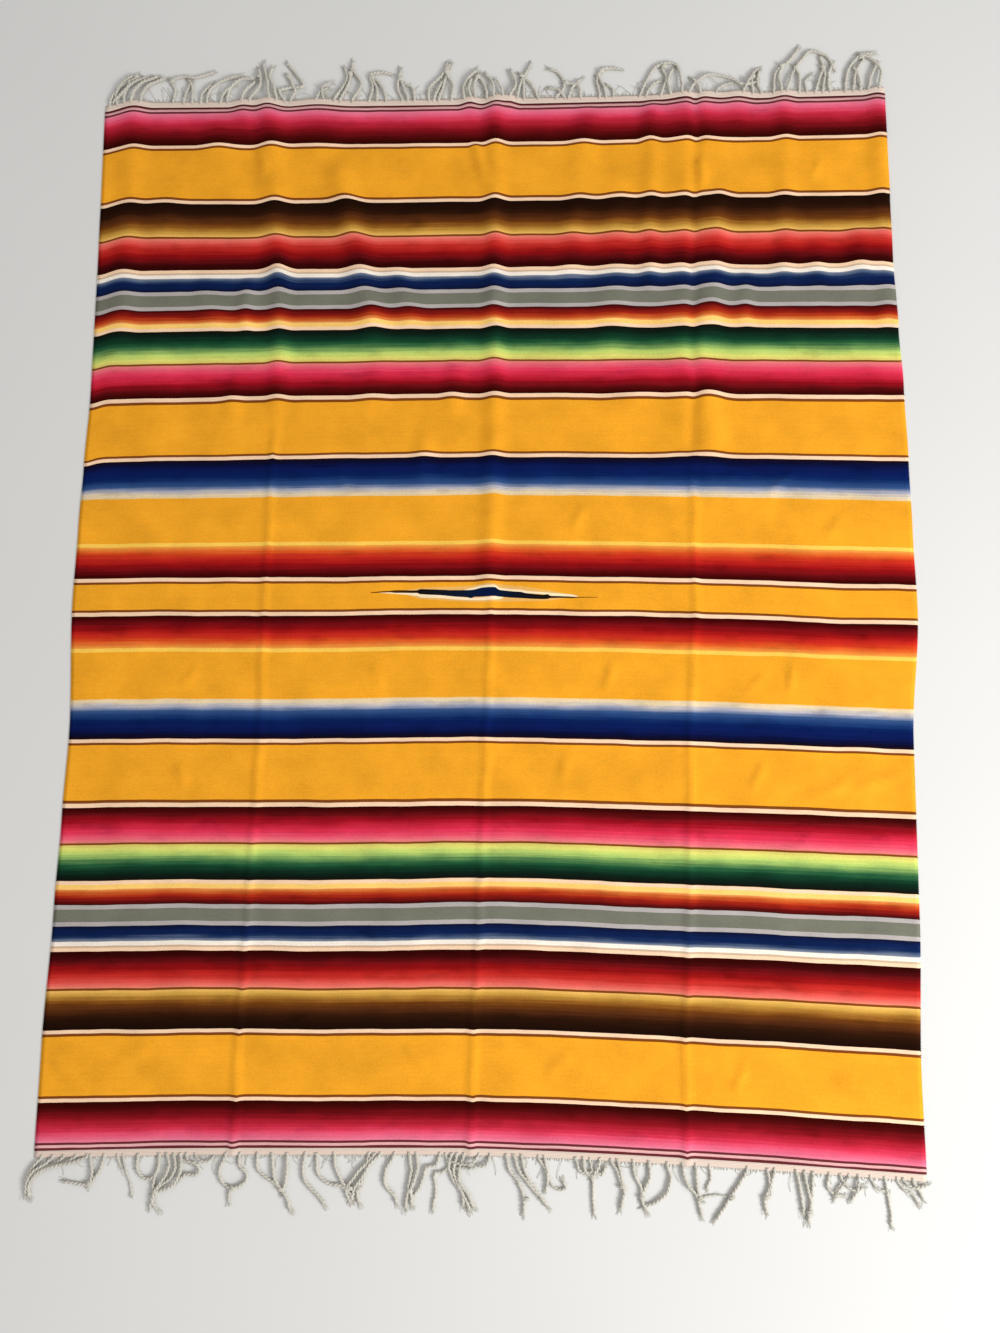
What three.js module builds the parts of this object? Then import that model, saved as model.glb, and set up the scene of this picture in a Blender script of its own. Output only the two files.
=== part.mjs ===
// A serape laid out flat: one woven wall with its folds, the plain cream rows that close the
// weave at each end, and the fringe of knotted warp ends.
//
// Millimetres, +Z up. The cloth rests on Z = 0, its stripes run along X and its length along Y.
// The origin is under the middle of the whole serape. A place on the cloth is given by u, across
// from the middle, and v, along from the middle, both measured on the flat cut cloth.

import * as THREE from 'three';

// Driving dimensions
const clothWidth = 1520;
const stripedLength = 1940;
const endRowsDepth = 12;
const fringeReach = 90;
const clothThickness = 2;
const endRowsThickness = 1.6;
const fringeThickness = 5;
const seamGap = 0.3;

// Towards the selvages the stripes lag behind the middle, and the far end is drawn in a little.
const lagPower = 1.6;
const lagAboveMiddle = 0.33;
const takeUp = { depth: 4, from: 400, to: 900 };

// The far part of the left selvage droops towards the near end.
const selvageDroop = { depth: 8, width: 22, from: 150, fade: 150 };

// Mesh spacing, and the fold lines that get columns of their own
const columnStep = 30;
const rowStep = 72;
const crestSpread = 20;
const leastColumnGap = 12;
const fringeRows = 3;

// How far each selvage stands outside the straight cut and how far the stripes' ends lag there,
// from the far end to the near end
const selvageStations = [
  { v: 980, left: -4, right: -11, leftLag: -6, rightLag: -6 },
  { v: 760, left: -6, right: -8, leftLag: -3, rightLag: -2 },
  { v: 640, left: -7, right: -6, leftLag: 0, rightLag: 0 },
  { v: 512, left: -7, right: 0, leftLag: 3, rightLag: 5 },
  { v: 400, left: -7, right: 6, leftLag: 8, rightLag: 8 },
  { v: 260, left: -2, right: 10, leftLag: 9, rightLag: 10 },
  { v: 130, left: 2, right: 13, leftLag: 8, rightLag: 13 },
  { v: -10, left: 5, right: 17, leftLag: 8, rightLag: 16 },
  { v: -240, left: -3, right: 2, leftLag: 11, rightLag: 16 },
  { v: -400, left: 2, right: 2, leftLag: 13, rightLag: 14 },
  { v: -560, left: 7, right: 2, leftLag: 16, rightLag: 16 },
  { v: -800, left: 15, right: -4, leftLag: 20, rightLag: 22 },
  { v: -980, left: 17, right: -1, leftLag: 24, rightLag: 24 },
];

// Soft patches where the stripes are drawn towards the near end
const slacks = [
  { name: 'left near belly', u: -250, v: -720, halfAcross: 190, halfAlong: 330, pull: 3.4 },
  { name: 'left middle belly', u: -330, v: -160, halfAcross: 190, halfAlong: 230, pull: 3.2 },
  { name: 'centre near take-up', u: 90, v: -550, halfAcross: 150, halfAlong: 130, pull: -3.6 },
  { name: 'right middle belly', u: 620, v: -20, halfAcross: 120, halfAlong: 70, pull: 3.0 },
];

// Folds and ripples: each is a soft ridge from one point of the cloth to another.
const storageFolds = [
  { name: 'centre, far half', u0: 16, v0: 1120, u1: 4, v1: -30, height: 7, width: 19 },
  { name: 'centre, near half', u0: 8, v0: 30, u1: -4, v1: -1120, height: 2.6, width: 8 },
  { name: 'left quarter, far end', u0: -446, v0: 1120, u1: -402, v1: 560, height: 7, width: 24 },
  { name: 'left quarter, far half', u0: -402, v0: 700, u1: -402, v1: 310, height: 5.5, width: 18 },
  { name: 'left quarter, near half', u0: -402, v0: 360, u1: -414, v1: -1120, height: 2.6, width: 8 },
  { name: 'right quarter, far half', u0: 400, v0: 1120, u1: 374, v1: 200, height: 7, width: 48 },
  { name: 'right quarter, far notch', u0: 408, v0: 1120, u1: 370, v1: 240, height: -4.5, width: 11 },
  { name: 'right quarter, near half', u0: 374, v0: 300, u1: 362, v1: -1120, height: 2.6, width: 8 },
];

const ripples = [
  { name: 'left selvage roll', u0: -698, v0: 1120, u1: -708, v1: 470, height: 4.5, width: 24 },
  { name: 'left far roll', u0: -500, v0: 1120, u1: -476, v1: 880, height: 4.5, width: 20 },
  { name: 'left far swell', u0: -330, v0: 1120, u1: -344, v1: 850, height: 4, width: 46 },
  { name: 'left band swell', u0: -630, v0: 860, u1: -640, v1: 680, height: 4, width: 36 },
  { name: 'left inner swell', u0: -524, v0: 970, u1: -536, v1: 800, height: 5, width: 32 },
  { name: 'left slanting ripple', u0: -300, v0: 880, u1: -210, v1: 470, height: 8.5, width: 26 },
  { name: 'second slanting ripple', u0: -196, v0: 660, u1: -130, v1: 490, height: 5.5, width: 24 },
  { name: 'left of the centre', u0: -32, v0: 1120, u1: -36, v1: 920, height: 5.5, width: 16 },
  { name: 'right of the centre', u0: 42, v0: 1120, u1: 44, v1: 930, height: 5.5, width: 14 },
  { name: 'right inner ripple', u0: 196, v0: 980, u1: 150, v1: 580, height: 4.5, width: 26 },
  { name: 'right inner swell', u0: 256, v0: 860, u1: 226, v1: 430, height: 4.5, width: 32 },
  { name: 'right sharp ripple', u0: 316, v0: 990, u1: 304, v1: 560, height: 6, width: 18 },
  { name: 'right slanting ripple', u0: 446, v0: 830, u1: 418, v1: 480, height: 5.5, width: 20 },
  { name: 'right middle ripple', u0: 486, v0: 1120, u1: 478, v1: 880, height: 4, width: 24 },
  { name: 'right band ripple', u0: 484, v0: 640, u1: 480, v1: 490, height: 4.5, width: 16 },
  { name: 'right far ripple', u0: 576, v0: 1120, u1: 556, v1: 560, height: 4, width: 20 },
  { name: 'right low swell', u0: 412, v0: 440, u1: 404, v1: 230, height: 6, width: 24 },
  { name: 'right selvage roll', u0: 708, v0: 730, u1: 696, v1: 570, height: 7, width: 26 },
  { name: 'right selvage edge', u0: 748, v0: 1120, u1: 742, v1: 480, height: 4, width: 18 },
];

const foldFade = 60;
const restLevel = 0.5;

// Where the cloth is raised, its rows have slid along the length, the more so farther out.
const slide = { from: -315, over: 1800 };

const halfWidth = clothWidth / 2;
const halfStripes = stripedLength / 2;
const halfWoven = halfStripes + endRowsDepth;
const halfOverall = halfWoven + fringeReach;

// The shift that puts the origin under the middle of the bowed outline
const farthest = selvageStations[0];
const nearest = selvageStations[selvageStations.length - 1];
const nearDrop = Math.max(nearest.leftLag, nearest.rightLag) * (1 - lagAboveMiddle);
const farRise = -Math.min(farthest.leftLag, farthest.rightLag) * (1 - lagAboveMiddle);
const lengthShift = (nearDrop - farRise + takeUp.depth) / 2;

const smoothStep = (t) => {
  const c = THREE.MathUtils.clamp(t, 0, 1);
  return c * c * (3 - 2 * c);
};

// The selvages at a place along the length, eased between the stations
function selvageAt(v) {
  const at = THREE.MathUtils.clamp(v, nearest.v, farthest.v);
  const next = selvageStations.findIndex((station, i) => i > 0 && at >= station.v);
  const far = selvageStations[next - 1];
  const near = selvageStations[next];
  const t = smoothStep((far.v - at) / (far.v - near.v));
  const between = (key) => THREE.MathUtils.lerp(far[key], near[key], t);
  return {
    left: between('left'),
    right: between('right'),
    leftLag: between('leftLag'),
    rightLag: between('rightLag'),
  };
}

// How far the cloth is moved along the length at a place on it
function shiftAt(u, v, selvage) {
  const lag = u < 0 ? selvage.leftLag : selvage.rightLag;
  const middle = (selvage.leftLag + selvage.rightLag) / 2;
  const bowed = middle * lagAboveMiddle - lag * Math.abs(u / halfWidth) ** lagPower;
  const taken = takeUp.depth * smoothStep((v - takeUp.from) / (takeUp.to - takeUp.from));
  const drooped = selvageDroop.depth * smoothStep((v - selvageDroop.from) / selvageDroop.fade);
  const edge = Math.exp(-(((u + halfWidth) / selvageDroop.width) ** 2));
  let drawn = 0;
  for (const slack of slacks) {
    const across = (u - slack.u) / slack.halfAcross;
    const along = (v - slack.v) / slack.halfAlong;
    drawn += slack.pull * Math.exp(-(across ** 2) - along ** 2);
  }
  return bowed - taken - drooped * edge - drawn + lengthShift;
}

// The height of one ridge over a place on the cloth
function ridgeHeight(fold, u, v) {
  const du = fold.u1 - fold.u0;
  const dv = fold.v1 - fold.v0;
  const length = Math.hypot(du, dv);
  const along = ((u - fold.u0) * du + (v - fold.v0) * dv) / length;
  const aside = ((u - fold.u0) * dv - (v - fold.v0) * du) / length;
  const ends = smoothStep(along / foldFade) * smoothStep((length - along) / foldFade);
  return fold.height * ends * Math.exp(-((aside / fold.width) ** 2));
}

// The height of the underside: flat where it rests, raised under each fold
function undersideAt(u, v) {
  let height = -restLevel;
  for (const fold of [...storageFolds, ...ripples]) height += ridgeHeight(fold, u, v);
  const settle = smoothStep((halfOverall - Math.abs(v)) / fringeReach);
  return Math.max(0, height * settle);
}

function clothPoint(u, v) {
  const selvage = selvageAt(v);
  const across = (u / halfWidth + 1) / 2;
  const x = u + THREE.MathUtils.lerp(-selvage.left, selvage.right, across);
  const z = undersideAt(u, v);
  const slid = (z * (v - slide.from)) / slide.over;
  return new THREE.Vector3(x, v + shiftAt(u, v, selvage) + slid, z);
}

// Columns of the mesh across the cloth: even steps, with extra ones on the storage folds
function meshColumns() {
  const crests = storageFolds.flatMap((fold) => {
    const crest = (fold.u0 + fold.u1) / 2;
    return [crest - crestSpread, crest, crest + crestSpread];
  });
  const columns = [-halfWidth, halfWidth];
  for (const u of crests) {
    if (columns.every((other) => Math.abs(other - u) > leastColumnGap)) columns.push(u);
  }
  for (let u = -halfWidth + columnStep; u < halfWidth; u += columnStep) {
    if (columns.every((other) => Math.abs(other - u) > leastColumnGap)) columns.push(u);
  }
  return columns.sort((a, b) => a - b);
}

function evenRows(from, to, count) {
  return Array.from({ length: count + 1 }, (_, i) => THREE.MathUtils.lerp(from, to, i / count));
}

// A closed wall over a patch of the cloth, its underside on the cloth's own shape
function wallGeometry(columns, rows, thickness) {
  const positions = [];
  for (const raise of [0, thickness]) {
    for (const v of rows) {
      for (const u of columns) {
        const point = clothPoint(u, v);
        positions.push(point.x, point.y, point.z + raise);
      }
    }
  }
  const wide = columns.length;
  const topLayer = wide * rows.length;
  const corner = (row, column) => row * wide + column;
  const indices = [];
  const addQuad = (a, b, c, d) => indices.push(a, b, c, a, c, d);
  for (let row = 0; row < rows.length - 1; row += 1) {
    for (let column = 0; column < wide - 1; column += 1) {
      const a = corner(row, column);
      const b = corner(row, column + 1);
      const c = corner(row + 1, column + 1);
      const d = corner(row + 1, column);
      addQuad(a + topLayer, b + topLayer, c + topLayer, d + topLayer);
      addQuad(d, c, b, a);
    }
  }
  const addEdge = (a, b) => addQuad(a, b, b + topLayer, a + topLayer);
  const lastRow = rows.length - 1;
  for (let column = 0; column < wide - 1; column += 1) {
    addEdge(corner(0, column), corner(0, column + 1));
    addEdge(corner(lastRow, column + 1), corner(lastRow, column));
  }
  for (let row = 0; row < lastRow; row += 1) {
    addEdge(corner(row + 1, 0), corner(row, 0));
    addEdge(corner(row, wide - 1), corner(row + 1, wide - 1));
  }
  const geometry = new THREE.BufferGeometry();
  geometry.setAttribute('position', new THREE.Float32BufferAttribute(positions, 3));
  geometry.setIndex(indices);
  geometry.computeVertexNormals();
  return geometry;
}

function clothMaterial(color, roughness) {
  return new THREE.MeshStandardMaterial({ color, roughness, metalness: 0 });
}

const marigoldWeave = clothMaterial(0xec9c24, 0.9);
const creamCotton = clothMaterial(0xe9ccb8, 0.92);
const fringeCotton = clothMaterial(0xe6dccb, 0.94);

const columns = meshColumns();

function addPiece(group, name, geometry, material) {
  const mesh = new THREE.Mesh(geometry, material);
  mesh.name = name;
  group.add(mesh);
}

// The end rows and the fringe beyond the stripes, at the far end or the near end
function addEnd(group, side, direction) {
  const rowsBetween = (inner, outer, count) => {
    const rows = evenRows(inner * direction, outer * direction, count);
    return rows.sort((a, b) => a - b);
  };
  const endRows = rowsBetween(halfStripes + seamGap, halfWoven, 1);
  const endWall = wallGeometry(columns, endRows, endRowsThickness);
  addPiece(group, `end_rows_${side}`, endWall, creamCotton);
  const reach = rowsBetween(halfWoven + seamGap, halfOverall, fringeRows);
  addPiece(group, `fringe_${side}`, wallGeometry(columns, reach, fringeThickness), fringeCotton);
}

const serape = new THREE.Group();
const stripeRows = evenRows(-halfStripes, halfStripes, Math.round(stripedLength / rowStep));
addPiece(serape, 'body', wallGeometry(columns, stripeRows, clothThickness), marigoldWeave);
addEnd(serape, 'far', 1);
addEnd(serape, 'near', -1);

export default serape;
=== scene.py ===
import logging
import math
import random
from dataclasses import dataclass
from enum import Enum

import bmesh
import bpy
import numpy as np
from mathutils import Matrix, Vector


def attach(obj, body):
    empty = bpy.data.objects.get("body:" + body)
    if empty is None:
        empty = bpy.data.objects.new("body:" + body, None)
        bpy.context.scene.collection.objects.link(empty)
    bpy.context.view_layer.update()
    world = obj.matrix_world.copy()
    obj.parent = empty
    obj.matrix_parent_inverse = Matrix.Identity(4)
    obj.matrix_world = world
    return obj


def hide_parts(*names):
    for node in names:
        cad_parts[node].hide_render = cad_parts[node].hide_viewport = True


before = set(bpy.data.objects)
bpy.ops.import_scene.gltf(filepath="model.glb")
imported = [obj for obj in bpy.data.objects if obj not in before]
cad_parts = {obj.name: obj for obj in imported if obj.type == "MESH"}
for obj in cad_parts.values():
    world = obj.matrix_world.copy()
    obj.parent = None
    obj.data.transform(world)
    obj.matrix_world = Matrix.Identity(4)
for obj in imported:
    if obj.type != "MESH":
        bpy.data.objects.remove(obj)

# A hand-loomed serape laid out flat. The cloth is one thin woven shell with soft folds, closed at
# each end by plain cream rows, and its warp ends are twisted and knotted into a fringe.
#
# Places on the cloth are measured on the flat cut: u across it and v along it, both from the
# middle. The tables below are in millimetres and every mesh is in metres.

MM = 0.001
ROOT_BODY = "root"
CLOTH_MAP = "cloth"
LOG = logging.getLogger("serape")

Shade = tuple[float, float, float]
Grain = tuple[float, float]
Place = tuple[float, float]
Range = tuple[float, float]


class End(Enum):
    """The two ends of the cloth, by the direction in which each one points."""

    FAR = 1
    NEAR = -1

    @property
    def side(self) -> str:
        """The word that names this end's pieces."""
        return self.name.lower()


# --------------------------------------------------------------------------------------------
# How the cloth lies
# --------------------------------------------------------------------------------------------


@dataclass(frozen=True)
class Ridge:
    """A soft ridge of the cloth, from one place on it to another, in millimetres."""

    name: str
    u0: float
    v0: float
    u1: float
    v1: float
    height: float
    width: float
    waver: float = 1.5
    long_wave: float = 27.0
    short_wave: float = 16.0

    def rise(self, u: np.ndarray, v: np.ndarray, fade: float) -> np.ndarray:
        """Works out how far this ridge lifts the cloth.

        Args:
            u: Places across the cloth, in millimetres.
            v: Places along the cloth, in millimetres.
            fade: The length over which each end of the ridge dies away, or a third of a ridge
                that is too short for it.

        Returns:
            The lift at each place, in millimetres.
        """
        du, dv = self.u1 - self.u0, self.v1 - self.v0
        length = math.hypot(du, dv)
        along = ((u - self.u0) * du + (v - self.v0) * dv) / length
        aside = ((u - self.u0) * dv - (v - self.v0) * du) / length
        wave = np.sin(along / self.long_wave + self.u0) + np.sin(along / self.short_wave)
        aside = aside + self.waver * wave
        fade = min(fade, length / 3)
        ends = smooth_step(along / fade) * smooth_step((length - along) / fade)
        return self.height * ends * np.exp(-((aside / self.width) ** 2))


STORAGE_FOLDS = (
    Ridge("centre, far half", 16, 1120, 4, -30, 7, 19),
    Ridge("centre, near half", 8, 30, -4, -1120, 2.6, 8),
    Ridge("left quarter, far end", -446, 1120, -402, 560, 7, 24),
    Ridge("left quarter, far half", -402, 700, -402, 310, 5.5, 18),
    Ridge("left quarter, near half", -402, 360, -414, -1120, 2.6, 8),
    Ridge("right quarter, far half", 400, 1120, 374, 200, 7, 48),
    Ridge("right quarter, far notch", 408, 1120, 370, 240, -4.5, 11),
    Ridge("right quarter, near half", 374, 300, 362, -1120, 2.6, 8),
)

RIPPLES = (
    Ridge("left selvage roll", -698, 1120, -708, 470, 4.5, 24),
    Ridge("left far roll", -500, 1120, -476, 880, 4.5, 20),
    Ridge("left far swell", -330, 1120, -344, 850, 4, 46),
    Ridge("left band swell", -630, 860, -640, 680, 4, 36),
    Ridge("left inner swell", -524, 970, -536, 800, 5, 32),
    Ridge("left slanting ripple", -300, 880, -210, 470, 8.5, 26),
    Ridge("second slanting ripple", -196, 660, -130, 490, 5.5, 24),
    Ridge("left of the centre", -32, 1120, -36, 920, 5.5, 16),
    Ridge("right of the centre", 42, 1120, 44, 930, 5.5, 14),
    Ridge("right inner ripple", 196, 980, 150, 580, 4.5, 26),
    Ridge("right inner swell", 256, 860, 226, 430, 4.5, 32),
    Ridge("right sharp ripple", 316, 990, 304, 560, 6, 18),
    Ridge("right slanting ripple", 446, 830, 418, 480, 5.5, 20),
    Ridge("right middle ripple", 486, 1120, 478, 880, 4, 24),
    Ridge("right band ripple", 484, 640, 480, 490, 4.5, 16),
    Ridge("right far ripple", 576, 1120, 556, 560, 4, 20),
    Ridge("right low swell", 412, 440, 404, 230, 6, 24),
    Ridge("right selvage roll", 708, 730, 696, 570, 7, 26),
    Ridge("right selvage edge", 748, 1120, 742, 480, 4, 18),
)

FINE_CREASES = (
    Ridge("left band kink", -462, 640, -470, 480, 4.5, 15),
    Ridge("left outer kink", -556, 640, -520, 490, 3, 26),
    Ridge("left pink kink", -482, 450, -486, 320, 4, 18),
    Ridge("left pink swell", -216, 460, -228, 330, 4.5, 28),
    Ridge("centre pink kink", -66, 460, -72, 320, 5, 20),
    Ridge("centre blue kink", -120, 330, -122, 190, 4.5, 20),
    Ridge("right pink swell", 300, 470, 240, 300, 4.5, 40),
    Ridge("right red kink", 624, 710, 620, 570, 3.5, 18),
    Ridge("slant beside the centre", -36, 905, 4, 785, 6.5, 10),
    Ridge("left far pucker", -458, 885, -430, 820, 4, 9),
    Ridge("right far pucker", 396, 850, 412, 780, 5, 9),
    Ridge("near left slant", -756, -806, -664, -884, 5, 6),
    Ridge("near left pucker", -330, -786, -232, -846, 4.5, 7),
    Ridge("near left dimple", -600, -826, -470, -858, 3.5, 12),
    Ridge("right band crease", 545, -106, 543, -176, 4.5, 6),
    Ridge("right band slant", 462, -170, 506, -130, 4, 7),
    Ridge("right low slant", 556, -360, 660, -312, 4.5, 7),
    Ridge("right edge slant", 646, -336, 756, -300, 4.5, 7),
    Ridge("right low crease", 474, -352, 500, -284, 4, 8),
    Ridge("middle low dimple", 150, -282, 138, -340, 4, 11),
    Ridge("middle band crease", 226, -112, 214, -180, 4, 9),
    Ridge("left low crease", -560, -300, -536, -352, 4, 9),
    Ridge("left middle slant", -300, 250, -240, 190, 4, 9),
    Ridge("right middle slant", 560, 250, 500, 180, 4.5, 9),
    Ridge("near left wrinkle", -560, -800, -640, -822, 4, 8),
    Ridge("near middle wrinkle", -130, -796, -70, -842, 4, 8),
    Ridge("near middle pucker", 120, -850, 176, -806, 3.5, 9),
    Ridge("near right wrinkle", 470, -800, 440, -866, 4, 8),
    Ridge("near right slant", 690, -860, 600, -816, 3.5, 8),
    Ridge("left band wrinkle", -520, -120, -560, -172, 3.5, 9),
    Ridge("left inner wrinkle", -214, -130, -180, -170, 3.5, 8),
    Ridge("right upper wrinkle", 640, 160, 600, 112, 3.5, 9),
    Ridge("middle upper wrinkle", 180, 172, 150, 120, 3.5, 9),
    Ridge("far right wrinkle", 640, 850, 610, 800, 3.5, 8),
    Ridge("far middle wrinkle", -180, 860, -130, 820, 3.5, 8),
    Ridge("sharp edge, centre", 6, 20, -4, -1120, 1.6, 5),
    Ridge("sharp edge, left quarter", -403, 330, -414, -1120, 1.6, 5),
    Ridge("sharp edge, right quarter", 374, 260, 362, -1120, 1.6, 5),
)


@dataclass(frozen=True)
class Slack:
    """A soft patch where the stripes are drawn towards the near end, in millimetres."""

    name: str
    u: float
    v: float
    half_across: float
    half_along: float
    pull: float

    def draw(self, u: np.ndarray, v: np.ndarray) -> np.ndarray:
        """How far this patch draws each place towards the near end."""
        reach = ((u - self.u) / self.half_across) ** 2 + ((v - self.v) / self.half_along) ** 2
        return self.pull * np.exp(-reach)


SLACKS = (
    Slack("left near belly", -250, -720, 190, 330, 3.4),
    Slack("left middle belly", -330, -160, 190, 230, 3.2),
    Slack("centre near take-up", 90, -550, 150, 130, -3.6),
    Slack("right middle belly", 620, -20, 120, 70, 3.0),
)


@dataclass(frozen=True)
class Selvage:
    """How the two selvages lie at one place along the cloth, in millimetres.

    Each stands outside the straight cut, and the stripes' ends lag towards the near end there.
    """

    v: float
    left: float
    right: float
    left_lag: float
    right_lag: float


SELVAGES = (
    Selvage(980, -4, -11, -6, -6),
    Selvage(760, -6, -8, -3, -2),
    Selvage(640, -7, -6, 0, 0),
    Selvage(512, -7, 0, 3, 5),
    Selvage(400, -7, 6, 8, 8),
    Selvage(260, -2, 10, 9, 10),
    Selvage(130, 2, 13, 8, 13),
    Selvage(-10, 5, 17, 8, 16),
    Selvage(-240, -3, 2, 11, 16),
    Selvage(-400, 2, 2, 13, 14),
    Selvage(-560, 7, 2, 16, 16),
    Selvage(-800, 15, -4, 20, 22),
    Selvage(-980, 17, -1, 24, 24),
)


def smooth_step(t: np.ndarray) -> np.ndarray:
    """Eases 0 to 1 into a soft step."""
    c = np.clip(t, 0.0, 1.0)
    return c * c * (3.0 - 2.0 * c)


@dataclass(frozen=True)
class ClothLay:
    """The shape in which the cloth lies, in millimetres, as the frame's solids have it.

    The cloth rests flat wherever no fold lifts it by more than the rest level.
    """

    width: float = 1520.0
    striped_length: float = 1940.0
    end_rows_depth: float = 12.0
    fringe_reach: float = 90.0
    thickness: float = 2.0
    seam_gap: float = 0.3
    lag_power: float = 1.6
    lag_above_middle: float = 0.33
    take_up: float = 4.0
    take_up_from: float = 400.0
    take_up_to: float = 900.0
    droop: float = 8.0
    droop_width: float = 22.0
    droop_from: float = 150.0
    droop_fade: float = 150.0
    fold_fade: float = 60.0
    rest_level: float = 0.5
    slide_from: float = -315.0
    slide_over: float = 1800.0

    @property
    def half_width(self) -> float:
        """Half the width of the cut."""
        return self.width / 2

    @property
    def half_stripes(self) -> float:
        """From the middle to the outermost pinstripe's outer edge."""
        return self.striped_length / 2

    @property
    def half_woven(self) -> float:
        """From the middle to the end of the weave."""
        return self.half_stripes + self.end_rows_depth

    @property
    def half_overall(self) -> float:
        """From the middle to the tips of the fringe."""
        return self.half_woven + self.fringe_reach

    @property
    def length_shift(self) -> float:
        """The shift that puts the origin under the middle of the bowed outline."""
        near, far = SELVAGES[-1], SELVAGES[0]
        lowest = max(near.left_lag, near.right_lag) * (1 - self.lag_above_middle)
        highest = -min(far.left_lag, far.right_lag) * (1 - self.lag_above_middle) - self.take_up
        return (lowest - highest) / 2

    def underside(self, u: np.ndarray, v: np.ndarray) -> np.ndarray:
        """The height of the cloth's underside: flat where it rests, raised under each fold."""
        height = np.full(np.shape(u), -self.rest_level, dtype=float)
        for ridge in STORAGE_FOLDS + RIPPLES + FINE_CREASES:
            height = height + ridge.rise(u, v, self.fold_fade)
        settle = smooth_step((self.half_overall - np.abs(v)) / self.fringe_reach)
        return np.maximum(0.0, height * settle)

    def between_stations(self, v: np.ndarray, left: str, right: str) -> tuple[np.ndarray, np.ndarray]:
        """Reads a pair of columns of the selvage table, eased between its rows.

        Args:
            v: Places along the cloth, in millimetres.
            left: The column for the left selvage.
            right: The column for the right selvage.

        Returns:
            The values of both columns at each place.
        """
        order = SELVAGES[::-1]
        stations = np.array([row.v for row in order])
        at = np.clip(v, stations[0], stations[-1])
        index = np.clip(np.searchsorted(stations, at) - 1, 0, len(order) - 2)
        t = smooth_step((at - stations[index]) / (stations[index + 1] - stations[index]))
        sides = []
        for column in (left, right):
            values = np.array([getattr(row, column) for row in order])
            sides.append(values[index] + (values[index + 1] - values[index]) * t)
        return sides[0], sides[1]

    def across(self, u: np.ndarray, v: np.ndarray) -> np.ndarray:
        """The place along X, with the selvages wandering as the table gives."""
        left, right = self.between_stations(v, "left", "right")
        share = (u / self.half_width + 1) / 2
        return u - left * (1 - share) + right * share

    def along(self, u: np.ndarray, v: np.ndarray, raised: np.ndarray) -> np.ndarray:
        """The place along Y, with the bowed stripes and the drooping far left selvage.

        Args:
            u: Places across the cloth, in millimetres.
            v: Places along the cloth, in millimetres.
            raised: The height of the underside at each place, which slides the cloth a little.

        Returns:
            The places along Y, in millimetres.
        """
        left, right = self.between_stations(v, "left_lag", "right_lag")
        lag = np.where(u < 0, left, right)
        middle = (left + right) / 2
        bowed = middle * self.lag_above_middle - lag * np.abs(u / self.half_width) ** self.lag_power
        taken = self.take_up * smooth_step((v - self.take_up_from) / (self.take_up_to - self.take_up_from))
        droop = self.droop * smooth_step((v - self.droop_from) / self.droop_fade)
        edge = np.exp(-(((u + self.half_width) / self.droop_width) ** 2))
        drawn = sum(slack.draw(u, v) for slack in SLACKS)
        slid = raised * (v - self.slide_from) / self.slide_over
        return v + bowed - taken - drawn - droop * edge + slid + self.length_shift

    def place(self, u: np.ndarray, v: np.ndarray, lift: np.ndarray | float) -> np.ndarray:
        """Lays places of the flat cut out in space.

        Args:
            u: Places across the cloth, in millimetres.
            v: Places along the cloth, in millimetres.
            lift: Height over the underside, in millimetres.

        Returns:
            One row for each place, with X, Y and Z in metres.
        """
        u, v = np.asarray(u, dtype=float), np.asarray(v, dtype=float)
        raised = self.underside(u, v)
        xyz = (self.across(u, v), self.along(u, v, raised), raised + lift)
        return np.stack(xyz, axis=-1) * MM


LAY = ClothLay()


# --------------------------------------------------------------------------------------------
# Shader helpers
# --------------------------------------------------------------------------------------------


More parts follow.
